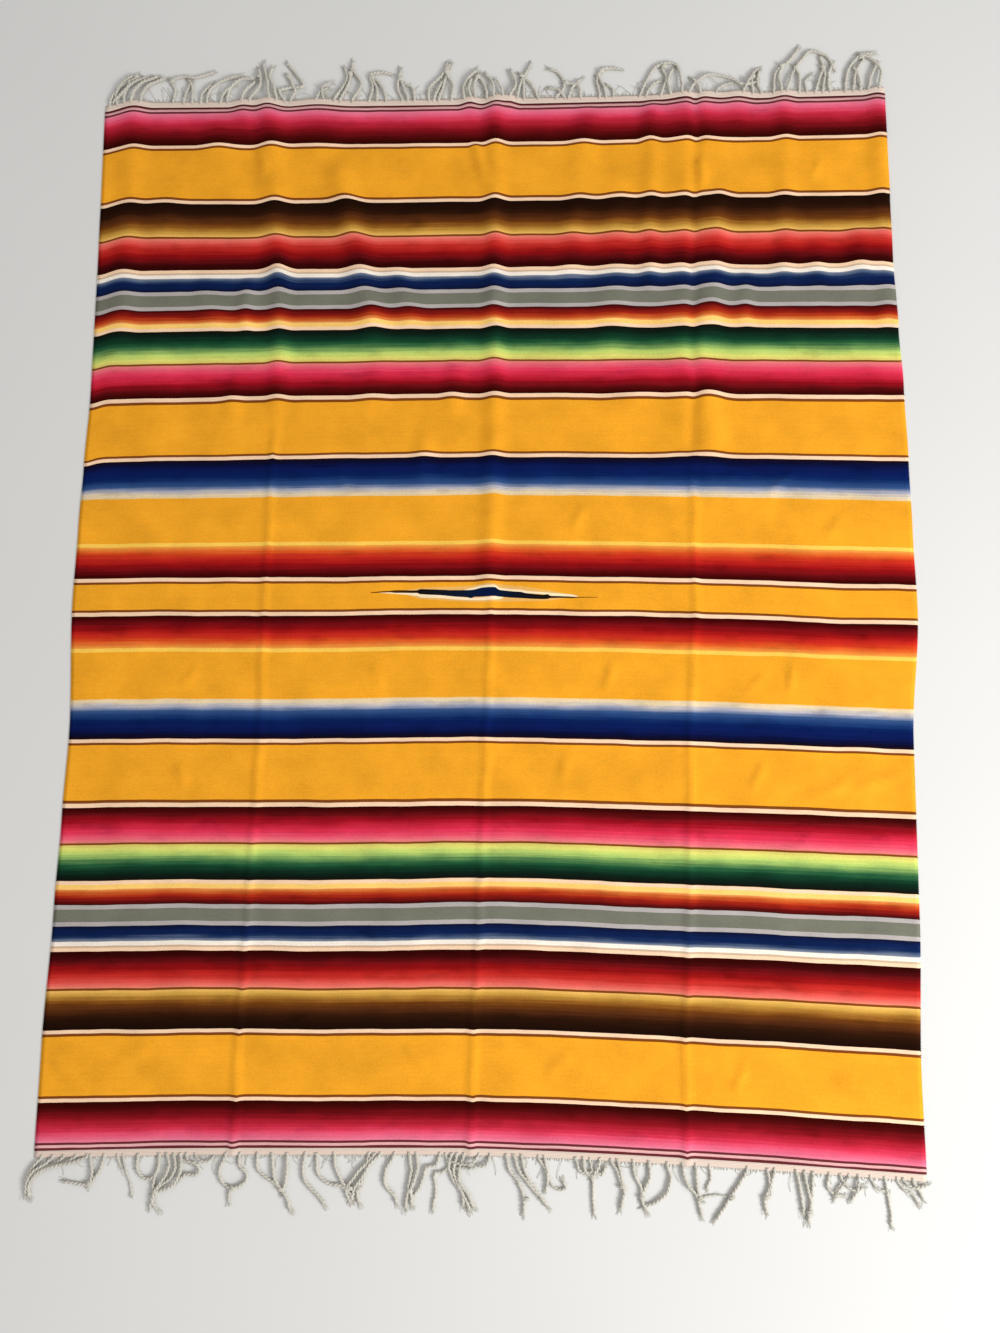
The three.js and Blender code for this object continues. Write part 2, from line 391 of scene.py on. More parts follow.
class NodeBoard:
    """Lays out the nodes of one node tree and joins them up."""

    def __init__(self, tree: bpy.types.NodeTree) -> None:
        """Keeps the tree that the nodes go in."""
        self.tree = tree

    def add(self, kind: str, **settings: object) -> bpy.types.Node:
        """Adds a node and sets its properties.

        Args:
            kind: The node's type name.
            **settings: Properties of the node, by name.

        Returns:
            The new node.
        """
        node = self.tree.nodes.new(kind)
        for name, value in settings.items():
            setattr(node, name, value)
        return node

    def feed(self, socket: bpy.types.NodeSocket, value: object) -> None:
        """Joins a socket to another one, or sets its plain value."""
        if isinstance(value, bpy.types.NodeSocket):
            self.tree.links.new(value, socket)
        else:
            socket.default_value = value

    def math(self, operation: str, *values: object, clamp: bool = False) -> bpy.types.NodeSocket:
        """Adds a Math node over sockets or numbers and returns its result."""
        node = self.add("ShaderNodeMath", operation=operation, use_clamp=clamp)
        for socket, value in zip(node.inputs, values):
            self.feed(socket, value)
        return node.outputs[0]

    def mix(self, share: object, under: object, over: object) -> bpy.types.NodeSocket:
        """Adds a colour Mix node and returns its result."""
        node = self.add("ShaderNodeMix", data_type="RGBA", clamp_factor=True)
        self.feed(node.inputs["Factor"], share)
        colours = [socket for socket in node.inputs if socket.type == "RGBA"]
        self.feed(colours[0], under)
        self.feed(colours[1], over)
        return next(socket for socket in node.outputs if socket.type == "RGBA")

    def split(self, vector: bpy.types.NodeSocket) -> tuple[bpy.types.NodeSocket, ...]:
        """Splits a vector into its X, Y and Z."""
        node = self.add("ShaderNodeSeparateXYZ")
        self.feed(node.inputs[0], vector)
        return tuple(node.outputs)

    def join(self, x: object, y: object) -> bpy.types.NodeSocket:
        """Makes a vector of two numbers or sockets, with no Z."""
        node = self.add("ShaderNodeCombineXYZ")
        for socket, value in zip(node.inputs, (x, y)):
            self.feed(socket, value)
        return node.outputs[0]

    def noise(self, vector: object, scale: float, detail: float = 2.0) -> bpy.types.NodeSocket:
        """Adds a Noise Texture over a vector and returns its value."""
        node = self.add("ShaderNodeTexNoise")
        self.feed(node.inputs["Vector"], vector)
        node.inputs["Scale"].default_value = scale
        node.inputs["Detail"].default_value = detail
        return node.outputs[0]

    def streaky_noise(self, u: object, v: object, grain: Grain) -> bpy.types.NodeSocket:
        """Adds noise that is as fine as its grain across the cloth and along it."""
        across = self.math("MULTIPLY", u, grain[0])
        along = self.math("MULTIPLY", v, grain[1])
        return self.noise(self.join(across, along), 1.0)

    def swing(self, value: object, span: object) -> bpy.types.NodeSocket:
        """Centres a value of 0 to 1 on nought and stretches it to a span."""
        return self.math("MULTIPLY", self.math("SUBTRACT", value, 0.5), span)

    def spread(self, value: object, low: float, high: float) -> bpy.types.NodeSocket:
        """Maps 0 to 1 onto low to high."""
        node = self.add("ShaderNodeMapRange")
        self.feed(node.inputs["Value"], value)
        node.inputs["To Min"].default_value = low
        node.inputs["To Max"].default_value = high
        return node.outputs[0]

    def group(self, tree: bpy.types.NodeTree, **values: object) -> bpy.types.Node:
        """Places a node group and feeds its inputs, named with underscores for spaces."""
        node = self.add("ShaderNodeGroup", node_tree=tree)
        for name, value in values.items():
            self.feed(node.inputs[name.replace("_", " ")], value)
        return node


GroupParts = tuple[bpy.types.NodeTree, NodeBoard, bpy.types.Node, bpy.types.Node]
MaterialParts = tuple[bpy.types.Material, NodeBoard, bpy.types.Node]


def new_group(name: str, inputs: dict[str, str], outputs: dict[str, str]) -> GroupParts:
    """Makes an empty shader node group with named sockets.

    Args:
        name: The group's name.
        inputs: Socket type by input name.
        outputs: Socket type by output name.

    Returns:
        The node tree, its board, its input node and its output node.
    """
    tree = bpy.data.node_groups.new(name, "ShaderNodeTree")
    for direction, sockets in (("INPUT", inputs), ("OUTPUT", outputs)):
        for label, kind in sockets.items():
            tree.interface.new_socket(name=label, in_out=direction, socket_type=kind)
    board = NodeBoard(tree)
    return tree, board, board.add("NodeGroupInput"), board.add("NodeGroupOutput")


def linear(shade: Shade) -> tuple[float, float, float, float]:
    """Turns a yarn shade of 0 to 255 a channel into linear light."""
    def channel(value: float) -> float:
        """One channel of the shade."""
        c = value / 255
        return c / 12.92 if c <= 0.04045 else ((c + 0.055) / 1.055) ** 2.4

    return (*(channel(value) for value in shade), 1.0)


# --------------------------------------------------------------------------------------------
# The yarns and the order in which they are woven
# --------------------------------------------------------------------------------------------


class Yarn(Enum):
    """The plain yarns, as shades of 0 to 255 a channel."""

    MARIGOLD = (240, 163, 39)
    CREAM = (246, 208, 172)
    BROWN = (126, 66, 22)
    PLUM = (104, 42, 46)
    BLUSH = (224, 170, 168)
    BRIGHT_YELLOW = (251, 200, 84)
    SILVER = (176, 168, 164)
    OLIVE_GREY = (116, 116, 102)
    WHITE = (244, 232, 216)
    TAN = (206, 176, 146)
    GOLD = (253, 204, 112)


@dataclass(frozen=True)
class Band:
    """A stretch of weave that starts at a distance from the middle and runs to the next band.

    One shade is a plain band. Several are blended into each other, from the middle outwards.
    """

    start: float
    shades: tuple[Shade, ...]


def plain(start: float, yarn: Yarn) -> Band:
    """A band of one yarn."""
    return Band(start, (yarn.value,))


FIRE = (
    (50, 2, 0), (70, 5, 6), (96, 11, 15), (123, 15, 20), (142, 15, 17), (172, 27, 24),
    (191, 39, 28), (200, 54, 28), (217, 84, 34), (228, 120, 50), (236, 158, 66),
)
BLUES_IN = ((232, 204, 150), (226, 204, 168), (192, 183, 176), (146, 152, 174), (54, 84, 128))
BLUES_OUT = (
    (52, 81, 127), (38, 66, 116), (21, 49, 100), (10, 33, 86), (8, 28, 83), (11, 26, 82),
    (11, 24, 76), (9, 17, 60), (13, 12, 38), (24, 8, 12),
)
PINKS = (
    (46, 3, 1), (64, 7, 6), (86, 11, 13), (118, 17, 24), (140, 12, 25), (174, 25, 42),
    (196, 37, 60), (212, 44, 71), (222, 57, 86), (228, 77, 100), (232, 102, 117), (224, 128, 118),
)
GREENS = (
    (214, 190, 104), (222, 216, 112), (198, 210, 107), (172, 198, 104), (124, 160, 88), (76, 120, 70),
    (38, 88, 54), (20, 64, 40), (16, 50, 34), (12, 35, 24), (13, 25, 18), (20, 16, 6),
)
EMBERS = (
    (238, 150, 84), (203, 104, 44), (188, 72, 32), (166, 45, 22), (142, 28, 18), (118, 22, 18),
    (88, 14, 13), (52, 7, 5),
)
NARROW_BLUES = (
    (10, 16, 44), (14, 25, 62), (13, 30, 72), (12, 31, 74), (26, 44, 82), (70, 86, 114), (128, 136, 150),
)
REDS = (
    (46, 6, 2), (50, 5, 4), (66, 8, 10), (92, 13, 16), (119, 16, 19), (138, 14, 17), (160, 26, 23),
    (184, 38, 33), (198, 50, 42), (217, 75, 66), (226, 100, 90), (232, 130, 106),
)
EARTHS = (
    (238, 184, 98), (206, 158, 70), (172, 122, 48), (138, 86, 30), (104, 56, 16), (90, 47, 19),
    (72, 36, 15), (52, 24, 9), (40, 19, 8), (34, 15, 6), (29, 13, 6), (26, 9, 3),
)
ROSES = (
    (50, 6, 2), (56, 6, 3), (74, 9, 9), (94, 12, 16), (118, 16, 23), (134, 18, 28), (160, 28, 42),
    (178, 34, 52), (196, 42, 65), (212, 60, 86), (224, 84, 112), (228, 104, 130), (226, 124, 146),
)

BANDS = (
    plain(0, Yarn.MARIGOLD),
    plain(24, Yarn.BROWN),
    plain(28.5, Yarn.CREAM),
    Band(35.5, FIRE),
    plain(95, Yarn.BRIGHT_YELLOW),
    plain(102, Yarn.MARIGOLD),
    Band(187.5, BLUES_IN),
    Band(209.5, BLUES_OUT),
    plain(260, Yarn.CREAM),
    plain(266.5, Yarn.BROWN),
    plain(271, Yarn.MARIGOLD),
    plain(369.5, Yarn.BROWN),
    plain(375, Yarn.CREAM),
    Band(382.5, PINKS),
    plain(445.5, Yarn.BROWN),
    Band(449, GREENS),
    plain(511.5, Yarn.CREAM),
    plain(518, Yarn.GOLD),
    Band(526.5, EMBERS),
    plain(554, Yarn.SILVER),
    plain(561.5, Yarn.OLIVE_GREY),
    plain(583.5, Yarn.SILVER),
    Band(591, NARROW_BLUES),
    plain(618, Yarn.WHITE),
    plain(625.5, Yarn.TAN),
    plain(629, Yarn.CREAM),
    Band(635, REDS),
    plain(698.5, Yarn.BROWN),
    Band(702.5, EARTHS),
    plain(770, Yarn.CREAM),
    plain(776, Yarn.BROWN),
    plain(781, Yarn.MARIGOLD),
    plain(880.5, Yarn.BROWN),
    plain(885, Yarn.CREAM),
    Band(891, ROSES),
    plain(957.5, Yarn.PLUM),
    plain(961.5, Yarn.BLUSH),
    plain(966, Yarn.PLUM),
)
BANDS_END = 970.0


@dataclass(frozen=True)
class StripeRamps:
    """Packs the bands into as few colour ramps as hold them sharply."""

    most_stops: int = 30
    longest: float = 170.0
    edge: float = 0.15

    def stops(self, index: int) -> list[tuple[float, Shade]]:
        """The places and shades of one band, just inside its edges."""
        band = BANDS[index]
        end = BANDS[index + 1].start if index + 1 < len(BANDS) else BANDS_END
        shades = band.shades if len(band.shades) > 1 else band.shades * 2
        first, last = band.start + self.edge, end - self.edge
        step = (last - first) / (len(shades) - 1)
        return [(first + step * i, shade) for i, shade in enumerate(shades)]

    def zones(self) -> list[list[tuple[float, Shade]]]:
        """The stops of every band, shared out over the ramps."""
        zones: list[list[tuple[float, Shade]]] = [[]]
        for index in range(len(BANDS)):
            stops = self.stops(index)
            zone = zones[-1]
            full = len(zone) + len(stops) > self.most_stops
            if zone and (full or stops[-1][0] - zone[0][0] > self.longest):
                zone = []
                zones.append(zone)
            zone.extend(stops)
        return zones

    def wire(self, board: NodeBoard, distance: bpy.types.NodeSocket) -> bpy.types.NodeSocket:
        """Adds the ramps to a tree.

        Args:
            board: The board of the tree that they go in.
            distance: The distance from the middle of the cloth, in metres.

        Returns:
            The colour of the yarn at that distance.
        """
        colour: object = None
        for zone in self.zones():
            low, high = zone[0][0] - self.edge, zone[-1][0] + self.edge
            scaled = board.add("ShaderNodeMapRange")
            board.feed(scaled.inputs["Value"], distance)
            scaled.inputs["From Min"].default_value = low * MM
            scaled.inputs["From Max"].default_value = high * MM
            ramp = board.add("ShaderNodeValToRGB")
            board.feed(ramp.inputs[0], scaled.outputs[0])
            fill_ramp(ramp.color_ramp, [((at - low) / (high - low), shade) for at, shade in zone])
            if colour is None:
                colour = ramp.outputs[0]
                continue
            past = board.math("GREATER_THAN", distance, low * MM)
            colour = board.mix(past, colour, ramp.outputs[0])
        return colour


def fill_ramp(ramp: bpy.types.ColorRamp, stops: list[tuple[float, Shade]]) -> None:
    """Gives a colour ramp its stops, from 0 to 1."""
    while len(ramp.elements) > 1:
        ramp.elements.remove(ramp.elements[-1])
    ramp.elements[0].position = stops[0][0]
    ramp.elements[0].color = linear(stops[0][1])
    for place, shade in stops[1:]:
        ramp.elements.new(place).color = linear(shade)


# --------------------------------------------------------------------------------------------
# The centre lozenge
# --------------------------------------------------------------------------------------------


@dataclass(frozen=True)
class Step:
    """One corner of a stepped figure, which reaches from low to high at u, in millimetres."""

    u: float
    low: float
    high: float


@dataclass(frozen=True)
class Lozenge:
    """The slim stepped figure at the centre of the cloth, with a pale line along its steps."""

    reach: float = 230.0
    rise: float = 20.0
    figure: tuple[Step, ...] = (
        Step(-214, 6, 6),
        Step(-210, 5.2, 7),
        Step(-176, 5.4, 8.4),
        Step(-168, 4.4, 9.4),
        Step(-128, 4.6, 9.4),
        Step(-122, 1.8, 11.6),
        Step(-81, -0.8, 9.6),
        Step(-56, -3.2, 9),
        Step(-36, -4.4, 9),
        Step(-30, -6.4, 9.4),
        Step(-24, -3.6, 10),
        Step(-13, -3.4, 12.4),
        Step(14, -3.2, 12.6),
        Step(20, -3.6, 8.4),
        Step(61, -6, 5.4),
        Step(68, -6.2, 3.6),
        Step(99, -6.8, 1.2),
        Step(108, -6.4, 2.4),
        Step(113, -4.8, -0.8),
        Step(152, -4, -1),
        Step(160, -2.8, -1),
        Step(196, -2.2, -1),
        Step(199, -1.6, -1.6),
    )
    pale_above: tuple[Step, ...] = (
        Step(-44, 8.8, 9),
        Step(-30, 9.2, 12.6),
        Step(-13, 12, 16.6),
        Step(14, 12.4, 16.8),
        Step(21, 8.4, 12.2),
        Step(61, 5.4, 9.2),
        Step(68, 3.6, 7.8),
        Step(108, 1.8, 5.4),
        Step(114, -0.8, 4.6),
        Step(152, -1, 3),
        Step(162, -0.8, 0.4),
    )
    pale_below: tuple[Step, ...] = (
        Step(-196, 5, 5.2),
        Step(-178, 3.4, 5.6),
        Step(-128, -0.6, 4.6),
        Step(-122, -4.2, 1.8),
        Step(-81, -6.2, -0.8),
        Step(-56, -8.6, -3.2),
        Step(-30, -9.8, -5.8),
        Step(14, -9.4, -3.2),
        Step(28, -6.2, -4.2),
    )
    halo: tuple[Step, ...] = (
        Step(-150, 2, 10),
        Step(-122, -7, 14),
        Step(-81, -10, 15),
        Step(-30, -13, 17),
        Step(0, -13, 20),
        Step(68, -11, 15),
        Step(114, -9, 9),
        Step(150, -3, 1),
    )
    shades: tuple[tuple[float, Shade], ...] = (
        (-212, (124, 72, 14)),
        (-178, (74, 44, 14)),
        (-126, (24, 16, 12)),
        (-81, (16, 20, 30)),
        (-34, (12, 26, 48)),
        (0, (8, 24, 64)),
        (24, (12, 24, 48)),
        (66, (18, 20, 28)),
        (108, (26, 18, 12)),
        (156, (86, 52, 14)),
        (198, (140, 88, 20)),
    )
    pale: Shade = (252, 228, 188)
    halo_shade: Shade = (234, 178, 96)

    def ramp(self, board: NodeBoard, u: bpy.types.NodeSocket) -> bpy.types.Node:
        """A ramp that runs across the figure."""
        scaled = board.add("ShaderNodeMapRange")
        board.feed(scaled.inputs["Value"], u)
        scaled.inputs["From Min"].default_value = -self.reach * MM
        scaled.inputs["From Max"].default_value = self.reach * MM
        node = board.add("ShaderNodeValToRGB")
        board.feed(node.inputs[0], scaled.outputs[0])
        return node

    def mask(self, board: NodeBoard, u: object, v: object,
             steps: tuple[Step, ...]) -> bpy.types.NodeSocket:
        """A mask that is 1 inside a figure.

        Args:
            board: The board of the tree that it goes in.
            u: The place across the cloth, in metres.
            v: The place along the cloth, in metres.
            steps: The figure's corners, from its left tip to its right one.

        Returns:
            The mask.
        """
        node = self.ramp(board, u)
        ramp = node.color_ramp
        while len(ramp.elements) > 1:
            ramp.elements.remove(ramp.elements[-1])
        ramp.elements[0].position = 0.0
        ramp.elements[0].color = (0.5, 0.5, 0, 1)
        tips = (Step(steps[0].u - 1, 0, 0), Step(steps[-1].u + 1, 0, 0))
        for step in (tips[0], *steps, tips[1]):
            place = (step.u + self.reach) / (2 * self.reach)
            low, high = (0.5 + value / (2 * self.rise) for value in (step.low, step.high))
            ramp.elements.new(place).color = (low, high, 0, 1)
        bounds = board.add("ShaderNodeSeparateColor")
        board.feed(bounds.inputs[0], node.outputs[0])
        level = board.math("ADD", board.math("DIVIDE", v, 2 * self.rise * MM), 0.5)
        over_low = board.math("GREATER_THAN", level, bounds.outputs[0])
        under_high = board.math("LESS_THAN", level, bounds.outputs[1])
        return board.math("MULTIPLY", over_low, under_high)

    def wire(self, board: NodeBoard, u: object, v: object, ground: object) -> bpy.types.NodeSocket:
        """Lays the figure over the ground colour.

        Args:
            board: The board of the tree that it goes in.
            u: The place across the cloth, in metres.
            v: The place along the cloth, in metres.
            ground: The colour of the weave round it.

        Returns:
            The colour of the weave, with the figure in it.
        """
        above = self.mask(board, u, v, self.pale_above)
        below = self.mask(board, u, v, self.pale_below)
        hazy = board.mix(self.mask(board, u, v, self.halo), ground, linear(self.halo_shade))
        colour = board.mix(board.math("MAXIMUM", above, below), hazy, linear(self.pale))
        tint = self.ramp(board, u)
        places = [((at + self.reach) / (2 * self.reach), shade) for at, shade in self.shades]
        fill_ramp(tint.color_ramp, places)
        figure = self.mask(board, u, v, self.figure)
        return board.mix(figure, colour, tint.outputs[0])


# --------------------------------------------------------------------------------------------
# Finishes
# --------------------------------------------------------------------------------------------


@dataclass(frozen=True)
class WeaveGroup:
    """The surface of a weft-faced weave: rows of weft that bulge over hidden warps."""

    name: str = "weft_faced_weave"
    hollow: float = 0.35
    streak_fineness: float = 55.0
    streak_step: float = 3.7

    def build(self) -> bpy.types.NodeTree:
        """Builds the node group.

        Returns:
            A group that takes the cloth's coordinates, the pitch of its warps and the pitch of
            its weft rows, all in metres, and gives the height of the weave, a shade that is its
            own in each row, and a slubby fibre streak, each from 0 to 1.
        """
        tree, board, source, sink = new_group(
            self.name,
            inputs={
                "Cloth": "NodeSocketVector",
                "Warp Pitch": "NodeSocketFloat",
                "Row Pitch": "NodeSocketFloat",
            },
            outputs={
                "Height": "NodeSocketFloat",
                "Row Shade": "NodeSocketFloat",
                "Streak": "NodeSocketFloat",
            },
        )
        u, v, _ = board.split(source.outputs["Cloth"])
        rows = board.math("DIVIDE", v, source.outputs["Row Pitch"])
        row = board.math("FLOOR", rows)
        inside_row = board.math("SUBTRACT", rows, row)
        bulge = board.math("SINE", board.math("MULTIPLY", inside_row, math.pi))
        warps = board.math("DIVIDE", u, source.outputs["Warp Pitch"])
        shifted = board.math("ADD", warps, board.math("MULTIPLY", row, 0.5))
        over_warp = board.math("COSINE", board.math("MULTIPLY", shifted, 2 * math.pi))
        rounded = board.spread(board.math("MULTIPLY_ADD", over_warp, 0.5, 0.5), self.hollow, 1.0)
        board.feed(sink.inputs["Height"], board.math("MULTIPLY", bulge, rounded))
        chance = board.add("ShaderNodeTexWhiteNoise", noise_dimensions="1D")
        board.feed(chance.inputs["W"], row)
        board.feed(sink.inputs["Row Shade"], chance.outputs["Value"])
        across = board.math("MULTIPLY", u, self.streak_fineness)
        streaks = board.join(across, board.math("MULTIPLY", row, self.streak_step))
        board.feed(sink.inputs["Streak"], board.noise(streaks, 1.0, 3.0))
        return tree


def new_material(name: str, roughness: float, sheen: float, gloss: float) -> MaterialParts:
    """Makes a material with one Principled shader.

    Args:
        name: The material's name.
        roughness: The roughness of its fibres.
        sheen: The weight of the soft light along its nap.
        gloss: The specular level of its surface.

    Returns:
        The material, the board of its nodes and its shader.
    """
    material = bpy.data.materials.new(name)
    material.use_nodes = True
    material.node_tree.nodes.clear()
    board = NodeBoard(material.node_tree)
    shader = board.add("ShaderNodeBsdfPrincipled")
    shader.inputs["Roughness"].default_value = roughness
    shader.inputs["Sheen Weight"].default_value = sheen
    shader.inputs["Specular IOR Level"].default_value = gloss
    output = board.add("ShaderNodeOutputMaterial")
    board.feed(output.inputs["Surface"], shader.outputs[0])
    return material, board, shader


def add_relief(board: NodeBoard, shader: bpy.types.Node, height: bpy.types.NodeSocket,
               strength: float, depth: float) -> None:
    """Gives a shader the small relief of its yarns.

    Args:
        board: The board of the material.
        shader: The shader.
        height: The height of the surface, from 0 to 1.
        strength: How strongly the relief shows.
        depth: How deep it is, in millimetres.
    """
    bump = board.add("ShaderNodeBump")
    bump.inputs["Strength"].default_value = strength
    bump.inputs["Distance"].default_value = depth * MM
    board.feed(bump.inputs["Height"], height)
    board.feed(shader.inputs["Normal"], bump.outputs[0])


@dataclass(frozen=True)
class StripedWeave:
    """The striped weave of the body: yarns in bands, with the lozenge at the centre."""

    roughness: float = 0.95
    sheen: float = 0.0
    gloss: float = 0.02
    warp_pitch: float = 4.4
    row_pitch: float = 1.7
    plain_rows: float = 0.03
    shaded_rows: float = 0.16
    streak_contrast: float = 0.07
    # The patch settings make dark patches of painted shade, which stand in for the shade of small ripples.
    patch_contrast: float = 0.3
    patch_grain: Grain = (17.0, 42.0)
    patch_gain: float = 4.0
    patch_start: float = -2.2
    patch_on_plain: float = 0.12
    grain_contrast: float = 0.15
    grain_scale: float = 260.0
    mottle_contrast: float = 0.24
    mottle_scale: float = 14.0
    ragged: float = 4.0
    ragged_grain: Grain = (15.0, 32.0)
    pick_scatter: float = 6.0
    pick_grain: Grain = (5.0, 300.0)
    wander: float = 5.0
    wander_scale: float = 9.0
    bump: float = 0.7
    relief: float = 0.45

    def shaded_mask(self, board: NodeBoard, distance: bpy.types.NodeSocket) -> bpy.types.NodeSocket:
        """A mask that rises to 1 inside the shaded bands and is 0 at their edges and elsewhere."""
        scaled = board.add("ShaderNodeMapRange")
        board.feed(scaled.inputs["Value"], distance)
        scaled.inputs["From Max"].default_value = BANDS_END * MM
        node = board.add("ShaderNodeValToRGB")
        board.feed(node.inputs[0], scaled.outputs[0])
        stops: list[tuple[float, Shade]] = [(0.0, (0, 0, 0))]
        for band, following in zip(BANDS, BANDS[1:]):
            if len(band.shades) > 1:
                middle = (band.start + following.start) / 2
                stops.append((band.start / BANDS_END, (0, 0, 0)))
                stops.append((middle / BANDS_END, (255, 255, 255)))
                stops.append((following.start / BANDS_END, (0, 0, 0)))
        fill_ramp(node.color_ramp, stops)
        return board.math("MULTIPLY", node.outputs[0], 2.0, clamp=True)

    def uneven_places(self, board: NodeBoard, u: object, v: object) -> tuple[bpy.types.NodeSocket, ...]:
        """Lets the stripes wander and the shades run ragged into each other.

        Args:
            board: The board of the material.
            u: The place across the cloth, in metres.
            v: The place along the cloth, in metres.

        Returns:
            The wandering place along the cloth, the ragged distance from its middle, and the mask
            of the shaded bands.
        """
        drift = board.noise(board.join(u, board.math("MULTIPLY", v, 0.5)), self.wander_scale, 3.0)
        settled = board.math("ADD", v, board.swing(drift, self.wander * MM))
        distance = board.math("ABSOLUTE", settled)
        shaded = self.shaded_mask(board, distance)
        ragged = board.swing(board.streaky_noise(u, v, self.ragged_grain), 2 * self.ragged * MM)
        picks = board.swing(board.streaky_noise(u, v, self.pick_grain), 2 * self.pick_scatter * MM)
        uneven = board.math("MULTIPLY", board.math("ADD", ragged, picks), shaded)
        return settled, board.math("ADD", distance, uneven), shaded

    def light(self, board: NodeBoard, surface: bpy.types.Node, u: object, v: object,
              shaded: bpy.types.NodeSocket) -> bpy.types.NodeSocket:
        """How light the yarn is: uneven rows, streaks, painted shade in dark patches, grain and mottling.

        Args:
            board: The board of the material.
            surface: The weave group's node.
            u: The place across the cloth, in metres.
            v: The place along the cloth, in metres.
            shaded: The mask of the shaded bands.

        Returns:
            A factor for the yarn's colour.
        """
        depth = board.spread(shaded, self.plain_rows, self.shaded_rows)
        row = board.swing(surface.outputs["Row Shade"], depth)
        streaks = board.swing(surface.outputs["Streak"], 2 * self.streak_contrast)
        patches = board.streaky_noise(u, v, self.patch_grain)
        lifted = board.math("MULTIPLY_ADD", patches, self.patch_gain, self.patch_start, clamp=True)
        darker = board.spread(lifted, 0.0, self.patch_contrast)
        # Painted shade: dark patches that stand in for the shade of small ripples, deepest in the shaded
        # bands.
        painted_patch_shade = board.math("MULTIPLY", darker, board.spread(shaded, self.patch_on_plain, 1.0))
        grain = board.noise(board.join(u, v), self.grain_scale, 3.0)
        grains = board.swing(grain, 2 * self.grain_contrast)
        mottle = board.noise(board.join(u, v), self.mottle_scale, 3.0)
        mottled = board.swing(mottle, 2 * self.mottle_contrast)
        woven = board.math("ADD", row, streaks)
        grain_mottle_and_patch_shade = board.math("ADD", board.math("SUBTRACT", grains, painted_patch_shade), mottled)
        return board.math("ADD", board.math("ADD", woven, grain_mottle_and_patch_shade), 1.0)

    def build(self, weave: bpy.types.NodeTree) -> bpy.types.Material:
        """Builds the material.

        Args:
            weave: The node group of the weave's surface.

        Returns:
            The material, which reads the cloth map.
        """
        material, board, shader = new_material("striped weave", self.roughness, self.sheen, self.gloss)
        cloth = board.add("ShaderNodeUVMap", uv_map=CLOTH_MAP).outputs[0]
        u, v, _ = board.split(cloth)
        surface = board.group(
            weave, Cloth=cloth, Warp_Pitch=self.warp_pitch * MM, Row_Pitch=self.row_pitch * MM
        )
        settled, dyed_at, shaded = self.uneven_places(board, u, v)
        stripes = StripeRamps().wire(board, dyed_at)
        figured = Lozenge().wire(board, u, settled, stripes)
        shade = board.add("ShaderNodeVectorMath", operation="SCALE")
        board.feed(shade.inputs[0], figured)
        board.feed(shade.inputs["Scale"], self.light(board, surface, u, v, shaded))
        board.feed(shader.inputs["Base Color"], shade.outputs[0])
        add_relief(board, shader, surface.outputs["Height"], self.bump, self.relief)
        return material


@dataclass(frozen=True)
class CreamWeave:
    """The plain cream cotton rows at the ends of the weave."""

    shade: Shade = (244, 226, 212)
    shadow: Shade = (214, 190, 172)
    roughness: float = 0.95
    sheen: float = 0.05
    gloss: float = 0.05
    warp_pitch: float = 4.4
    row_pitch: float = 2.4
    least_light: float = 0.2
    bump: float = 0.9
    relief: float = 0.7

    def build(self, weave: bpy.types.NodeTree) -> bpy.types.Material:
        """Builds the material.

        Args:
            weave: The node group of the weave's surface.

        Returns:
            The material, which reads the cloth map.
        """
        material, board, shader = new_material("cream cotton rows", self.roughness, self.sheen, self.gloss)
        cloth = board.add("ShaderNodeUVMap", uv_map=CLOTH_MAP).outputs[0]
        surface = board.group(
            weave, Cloth=cloth, Warp_Pitch=self.warp_pitch * MM, Row_Pitch=self.row_pitch * MM
        )
        soft = board.math("MULTIPLY", surface.outputs["Streak"], surface.outputs["Height"])
        light = board.spread(soft, self.least_light, 1.0)
        colour = board.mix(light, linear(self.shadow), linear(self.shade))
        board.feed(shader.inputs["Base Color"], colour)
        add_relief(board, shader, surface.outputs["Height"], self.bump, self.relief)
        return material


@dataclass(frozen=True)
class CottonCord:
    """The off-white cotton of the fringe, darker in the hollows between its fibres."""

    shade: Shade = (220, 216, 204)
    shadow: Shade = (160, 154, 140)
    roughness: float = 0.95
    sheen: float = 0.1
    gloss: float = 0.05
    fibre_scale: float = 1600.0
    fibre_share: float = 0.5
    patch_scale: float = 60.0
    patch_share: float = 0.6
    bump: float = 0.6
    relief: float = 0.4

    def build(self) -> bpy.types.Material:
        """Builds the material, which reads object coordinates."""
        material, board, shader = new_material("fringe cotton", self.roughness, self.sheen, self.gloss)
        place = board.add("ShaderNodeTexCoord").outputs["Object"]
        fibre = board.noise(place, self.fibre_scale)
        patch = board.noise(place, self.patch_scale)
        patches = board.math("MULTIPLY", patch, self.patch_share)
        depth = board.math("MULTIPLY_ADD", fibre, self.fibre_share, patches, clamp=True)
        colour = board.mix(depth, linear(self.shadow), linear(self.shade))
        board.feed(shader.inputs["Base Color"], colour)
        add_relief(board, shader, fibre, self.bump, self.relief)
        return material


@dataclass(frozen=True)
class FloorPaint:
    """The plain pale floor."""

    shade: Shade = (220, 219, 215)
    roughness: float = 0.9
    sheen: float = 0.0
    gloss: float = 0.1
    mottle: float = 0.02
    mottle_scale: float = 2.0

    def build(self) -> bpy.types.Material:
        """Builds the material, which reads object coordinates."""
        material, board, shader = new_material("pale floor", self.roughness, self.sheen, self.gloss)
        place = board.add("ShaderNodeTexCoord").outputs["Object"]
        patch = board.noise(place, self.mottle_scale)
        darker = tuple(value * (1 - self.mottle) for value in self.shade)
        board.feed(shader.inputs["Base Color"], board.mix(patch, linear(darker), linear(self.shade)))
        return material


# --------------------------------------------------------------------------------------------
# Pieces
# --------------------------------------------------------------------------------------------


